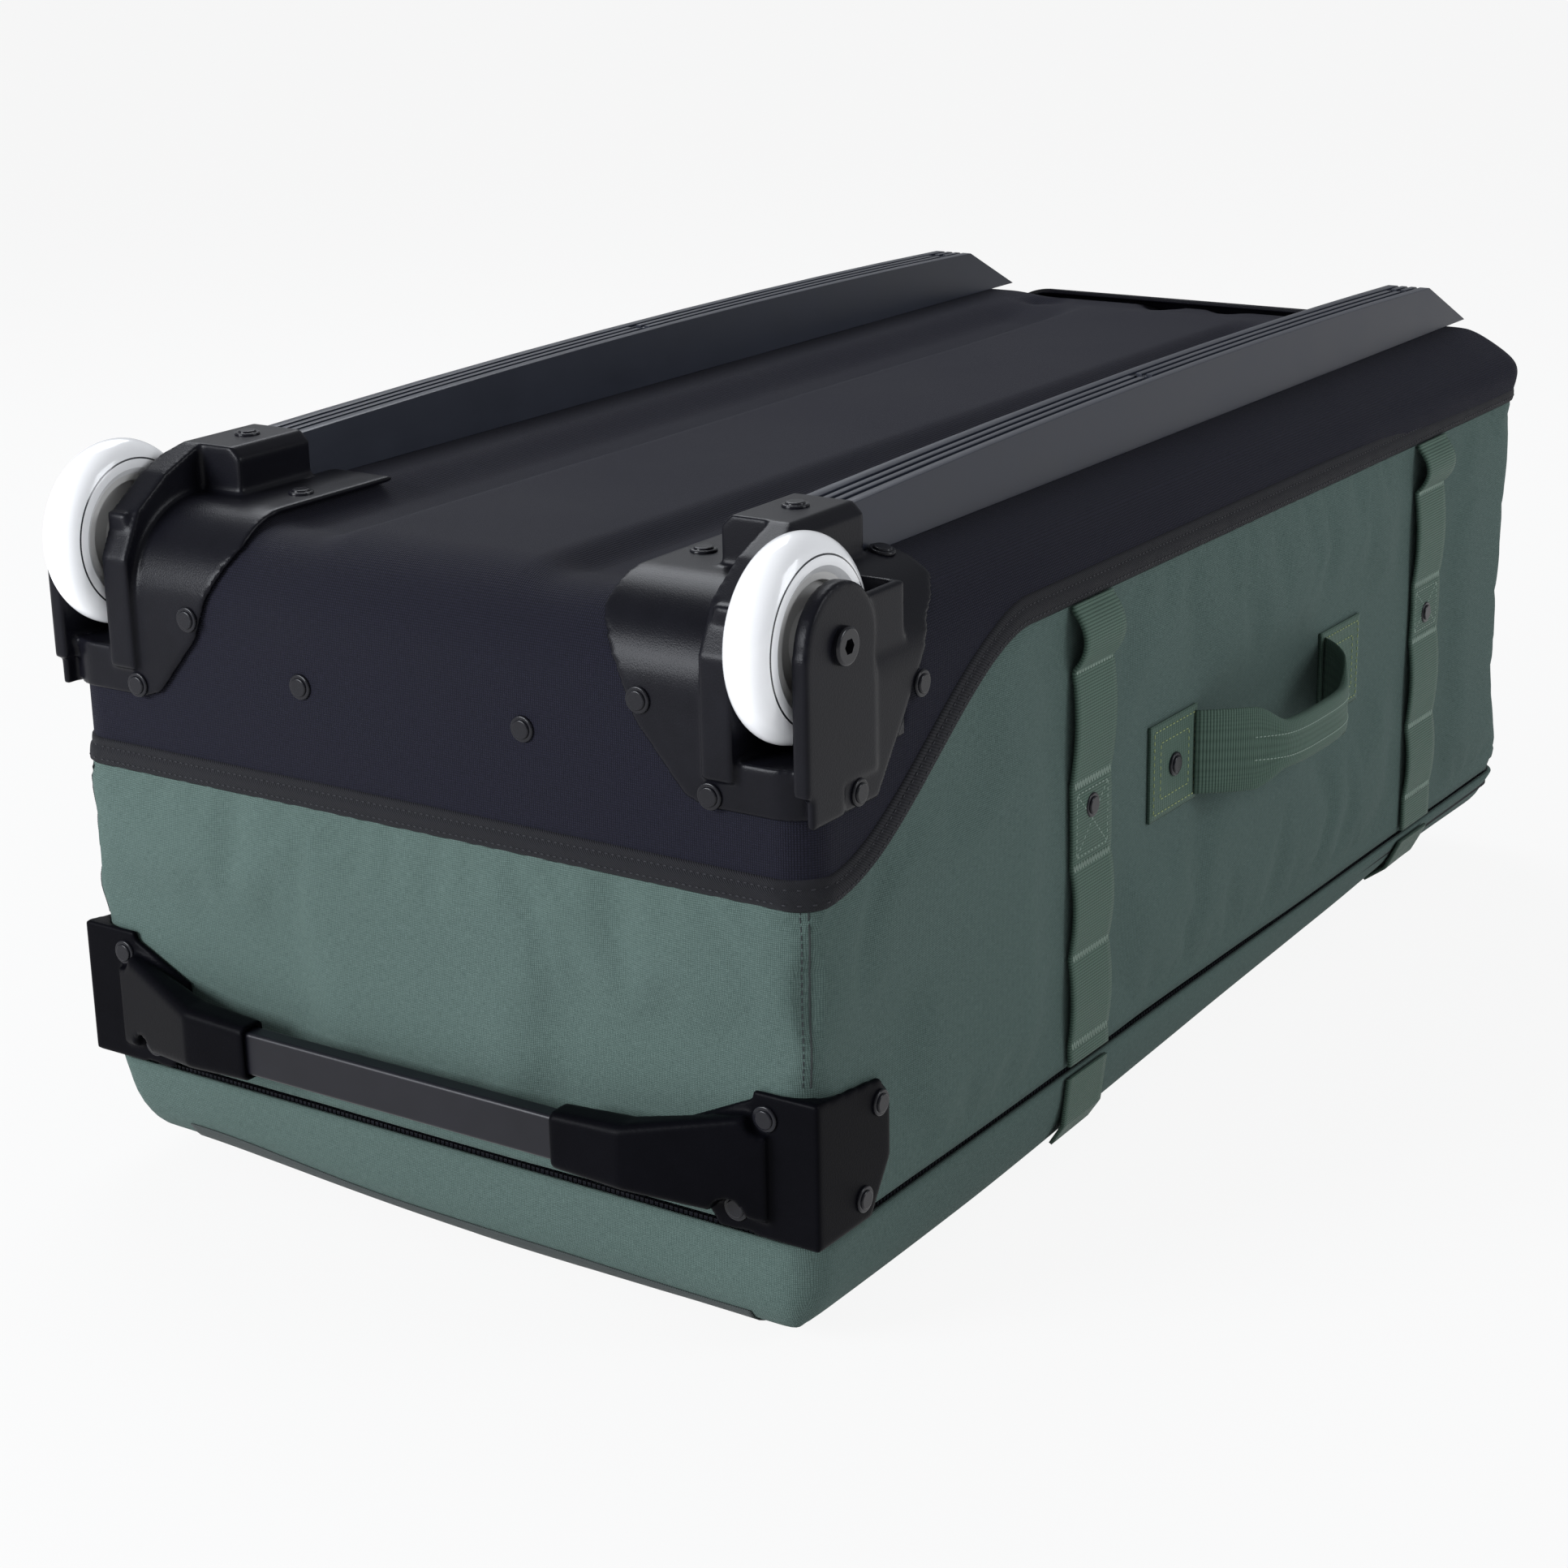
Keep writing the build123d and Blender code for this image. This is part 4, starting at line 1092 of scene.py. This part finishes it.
def band(name, cells, size, place, side, body, stands_for, thick=0.0018):
    """Flat band of webbing: place(across, along) puts a point, both as shares."""
    bm = cloth_grid(*cells, *size)
    for vert in bm.verts:
        vert.co = place(vert.co.x + 0.5, vert.co.y + 0.5)
    bm.normal_update()
    face = max(bm.faces, key=lambda f: abs(f.normal.x))
    if face.normal.x * side < 0:
        bmesh.ops.reverse_faces(bm, faces=bm.faces)
    return make_piece(name, bm, body, "green_webbing", stands_for, thick)


strap_middles = {}
for end in tacks:
    lo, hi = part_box(f"strap_{end}_right")
    strap_middles[end] = (lo.y + hi.y) / 2
for end, rows in tacks.items():
    for side, hand in hands:
        middle = strap_middles[end]

        def place(across, along, side=side, rows=rows, middle=middle):
            z = strap_low + along * (strap_high - strap_low)
            sway = 0.0005 * math.sin(z * 60 + middle * 9)
            stand = strap_stand(z, rows) + 0.0022
            return Vector((side * (strap_face + stand), middle + (across - 0.5) * strap_width + sway, z))

        ties = (f"strap_{end}_{hand}",)
        band(f"side_strap_{end}_{hand}", (10, 150), (0.040, 0.235), place, side, "bag", ties)

# %% [markdown]
# ## Strap ends on the lid
# Below the zip each strap goes on down the lid and turns under it, so these short pieces ride on the
# lid and part from the upper straps when it opens.

# %% Strap ends on the lid
for end, middle in strap_middles.items():
    for side, hand in hands:

        def place(across, along, side=side, middle=middle):
            y = middle + (across - 0.5) * strap_width
            spot = 1.0 - 0.27 * along
            inset, z = lid_profile(spot, side * half_width, y)
            inset_up, z_up = lid_profile(min(1, spot + 0.03), side * half_width, y)
            inset_dn, z_dn = lid_profile(spot - 0.03, side * half_width, y)
            run = Vector((inset_up - inset_dn, z_up - z_dn)).normalized()
            x = half_width - inset + 0.0030 * run.y
            return Vector((side * x, y, max(0.0021, z + 0.0030 * run.x)))

        ties = ("lid_straps",) if (end, side) == ("wheel_end", 1) else ()
        band(f"lid_strap_{end}_{hand}", (10, 24), (0.040, 0.05), place, side, "lid", ties)

# %% [markdown]
# ## Anchor patches and carry loops
# Each side has one carry loop. Its webbing is sewn flat in two square patches, leaves them at full width
# and is folded and stitched into a narrower grip in the middle. The loop is a tube of oval section whose
# width and thickness change along its path.

# %% Patches and carry loops
patch_width, patch_length, patch_thick = 0.0505, 0.052, 0.0020
patch_lo, patch_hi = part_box("handle_patches_right")
patch_middles = (patch_lo.y + 0.025, patch_hi.y - 0.025)
loop_z = (patch_lo.z + patch_hi.z) / 2
for side, hand in hands:
    for index, middle in enumerate(patch_middles):

        def place(across, along, side=side, middle=middle):
            lip = 0.0006 * (1 - smooth(0.0, 0.06, min(across, 1 - across, along, 1 - along)))
            x = side * (half_width + 0.0024 - lip)
            y = middle + (along - 0.5) * patch_length
            return Vector((x, y, loop_z + (across - 0.5) * patch_width))

        ties = (f"handle_patches_{hand}",) if index == 0 else ()
        name = f"anchor_patch_{index + 1}_{hand}"
        band(name, (24, 24), (patch_width, patch_length), place, side, "bag", ties, patch_thick)

loop_lo, loop_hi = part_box("carry_loop_right")
loop_from, loop_to = patch_middles[0] + 0.022, patch_middles[1] - 0.022
reach = loop_hi.x - 0.0034 - half_width
loop_mid, loop_half = (loop_from + loop_to) / 2, (loop_to - loop_from) / 2
path_steps, round_steps = 96, 20
squareness = 0.55


def loop_path(share):
    """Middle line of the carry loop in plan: distance from the wall and place along the bag."""
    way = 2 * share - 1
    bow = 1 - abs(way) ** 3.2
    off = 0.0026 + (reach - 0.0026) * bow ** 0.9
    return off, loop_mid + loop_half * (way * 0.92 + 0.08 * way**3)


def loop_sag(share):
    """How far the loop hangs below its ends."""
    return 0.0025 * smooth(0.0, 0.5, min(share, 1 - share) * 1.6)


def loop_section(share):
    """Half width and half thickness: broad and flat at the ends, folded thick in the middle."""
    end = min(share, 1 - share)
    grip = smooth(0.13, 0.27, end)
    return 0.0225 - 0.0095 * grip, 0.0011 + 0.0021 * grip


for side, hand in hands:
    bm = cloth_grid(round_steps, path_steps, 0.06, 0.24)
    for vert in bm.verts:
        share, turn = vert.co.y + 0.5, (vert.co.x + 0.5) * 2 * math.pi
        off, y = loop_path(share)
        off2, y2 = loop_path(min(1, share + 0.002))
        off1, y1 = loop_path(max(0, share - 0.002))
        run = Vector((off2 - off1, y2 - y1)).normalized()
        wide, thick = loop_section(share)
        c, s = math.cos(turn), math.sin(turn)
        across = wide * math.copysign(abs(c) ** squareness, c)
        out = thick * math.copysign(abs(s) ** squareness, s)
        out -= 0.0008 * math.exp(-((across / 0.0025) ** 2)) * smooth(0.13, 0.27, min(share, 1 - share))
        x = off + run.y * out
        z = loop_z + across - loop_sag(share)
        vert.co = Vector((side * (half_width + max(x, 0.0012)), y - run.x * out, z))
    bmesh.ops.remove_doubles(bm, verts=bm.verts, dist=join_gap)
    rims = [edge for edge in bm.edges if edge.is_boundary]
    bmesh.ops.holes_fill(bm, edges=rims, sides=0)
    bmesh.ops.recalc_face_normals(bm, faces=bm.faces)
    loop = make_piece(f"carry_webbing_{hand}", bm, None, "green_webbing",
                      (f"carry_loop_{hand}",))
    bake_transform(loop)

# %% [markdown]
# ## Thread
# Sewn goods are read by their stitches. One stitch is a tiny rounded bead laid along the seam. Bar tacks
# are dense zigzags across a strap, and the box with a cross in it holds the strap at its rivet. The
# stitches are dropped on the finished cloth with a ray, so that they lie on it wherever it has swelled.

# %% Stitch tools


def finished_surface(piece):
    shaped = piece.evaluated_get(bpy.context.evaluated_depsgraph_get()).to_mesh()
    corners = [vert.co.copy() for vert in shaped.vertices]
    return BVHTree.FromPolygons(corners, [list(face.vertices) for face in shaped.polygons])


def drop_on(surface, place, out, clear):
    """Where a line from outside first meets the surface, `clear` above it."""
    hit, normal, index, gap = surface.ray_cast(place + out * 0.04, -out, 0.09)
    if hit is None:
        return place, out
    if normal.dot(out) < 0:
        normal = -normal
    return hit + normal * clear, normal


def stitch(bm, place, run, out, length, width=0.0009):
    run = (run - out * run.dot(out)).normalized()
    turn = Matrix((run, out.cross(run), out)).transposed().to_4x4()
    size = Matrix.Diagonal((length, width, width * 0.8, 1))
    where = Matrix.Translation(place) @ turn @ size
    bmesh.ops.create_icosphere(bm, subdivisions=1, radius=0.5, matrix=where)


def seam_row(bm, start, end, out, pitch=0.0034, length=0.0026, width=0.0009):
    """Row of stitches from one point to another."""
    run = end - start
    count = max(1, round(run.length / pitch))
    for index in range(count):
        stitch(bm, start + run * ((index + 0.5) / count), run.normalized(), out, length, width)


walls_surface = finished_surface(walls)
lid_surface = finished_surface(lid)
print("surfaces ready for sewing")

# %% [markdown]
# ## Stitches of the straps and patches
# Each tack is a row of slanting stitches across the strap. A crossed box is sewn at the strap's rivet,
# and two squares of lime thread hold each patch.

# %% Strap and patch stitches
for side, hand in hands:
    out = Vector((side, 0, 0))
    tacking = bmesh.new()
    for end, rows in tacks.items():
        middle = strap_middles[end]
        x = side * (strap_face + 0.0024)
        for z in rows:
            for index in range(27):
                y = middle + (index / 26 - 0.5) * 0.035
                tilt = Vector((0, 0.22 if index % 2 else -0.22, 1))
                stitch(tacking, Vector((x, y, z)), tilt, out, 0.0052, 0.0010)
        low, high = rows[2] + 0.005, rows[1] - 0.005
        left, right = middle - 0.0155, middle + 0.0155
        ring = ((left, low), (right, low), (right, high), (left, high))
        corners = [Vector((x, y, z)) for y, z in ring]
        for index in range(4):
            seam_row(tacking, corners[index], corners[(index + 1) % 4], out)
        seam_row(tacking, corners[0], corners[2], out)
        seam_row(tacking, corners[1], corners[3], out)
    make_piece(f"strap_stitches_{hand}", tacking, "bag", "pale_thread")
    lime = bmesh.new()
    for middle in patch_middles:
        for inset in (0.0035, 0.0105):
            x = side * (half_width + 0.0025)
            half_y, half_z = 0.026 - inset, 0.02525 - inset
            ring = [(-half_y, -half_z), (half_y, -half_z), (half_y, half_z), (-half_y, half_z)]
            corners = [Vector((x, middle + y, loop_z + z)) for y, z in ring]
            for index in range(4):
                seam_row(lime, corners[index], corners[(index + 1) % 4], out, 0.0037, 0.0027, 0.0008)
    make_piece(f"patch_stitches_{hand}", lime, "bag", "lime_thread")

# %% [markdown]
# ## Stitches of the carry loops
# Two rows run along the folded grip.

# %% Stitches of the carry loops
for side, hand in hands:
    rows = bmesh.new()
    for index in range(58):
        share = 0.14 + 0.72 * index / 57
        off, y = loop_path(share)
        off2, y2 = loop_path(share + 0.004)
        run = Vector((side * (off2 - off), y2 - y, 0)).normalized()
        out = Vector((run.y, -run.x, 0))
        out = out if out.x * side > 0 else -out
        thick = loop_section(share)[1]
        for across in (-0.0062, 0.0062):
            place = Vector((side * (half_width + off), y, loop_z + across)) + out * (thick * 0.93)
            place.z -= loop_sag(share)
            stitch(rows, place, run, out, 0.0022, 0.0008)
    piece = make_piece(f"loop_stitches_{hand}", rows, None, "pale_thread")
    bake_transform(piece)

# %% [markdown]
# ## Seams of the body
# The end and side panels of the green body meet in an upright seam at each near corner: a thin rolled
# edge with a row of dark stitches beside it. The binding is held by two rows of black stitches, and a
# grey twill tape covers the seam along the lid's lower edge at the wheel end.

# %% Corner seams
roll = bmesh.new()
rows = bmesh.new()
for corner in (-1, 1):
    out = Vector((corner, -1, 0)).normalized()
    across = Vector((out.y, -out.x, 0))
    middle = Vector((corner * (half_width - 0.011), wheel_end + 0.011, 0))
    z = 0.130
    while z < seam_low - 0.006:
        place, normal = drop_on(walls_surface, middle + Vector((0, 0, z)), out, 0.0001)
        stitch(roll, place, Vector((0, 0, 1)), normal, 0.0024, 0.0011)
        beside, normal = drop_on(walls_surface, middle + across * 0.0034 + Vector((0, 0, z)), out, 0.0001)
        if int(z / 0.0012) % 3 != 2:
            stitch(rows, beside, Vector((0, 0, 1)), normal, 0.0016, 0.0006)
        z += 0.0012
make_piece("corner_roll", roll, "bag", "crease_twill")
make_piece("corner_stitches", rows, "bag", "black_thread")

# %% [markdown]
# ## Stitches of the binding
# Two rows of black thread follow the tape, one in its dip and one near its lower edge.

# %% Binding stitches
tape_surface = finished_surface(binding)
rows = bmesh.new()
binding_pitch = 0.0036
for station, share in walk(binding_pitch):
    here, out = outline(station, plan_z)
    following = outline(station + 1, plan_z)[0]
    for across in (-0.52, 0.36):
        places = []
        for point in (here, following):
            z = seam_z(point.y) + across * tape_half
            places.append(Vector((point.x, point.y, z)))
        place = places[0].lerp(places[1], share)
        spot, normal = drop_on(tape_surface, place, out, 0.0001)
        stitch(rows, spot, places[1] - places[0], normal, 0.0026, 0.0008)
make_piece("binding_stitches", rows, "bag", "black_thread")

# %% [markdown]
# ## The lid's crease tape
# A twill tape covers the seam along the lid's lower edge and waves a little, as a sewn tape does.

# %% Crease tape of the lid
bm = cloth_grid(150, 6, 0.34, 0.011)
for vert in bm.verts:
    x = 0.005 + vert.co.x * 0.345
    z = 0.0105 + vert.co.y * 0.010 + 0.006 * smooth(0.05, -0.17, x) + 0.0012 * math.sin(x * 31)
    place, normal = drop_on(lid_surface, Vector((x, wheel_end, z)), Vector((0, -1, 0)), 0.0009)
    vert.co = place
face_out(bm)
make_piece("lid_crease_tape", bm, "lid", "crease_twill", (), 0.0007)
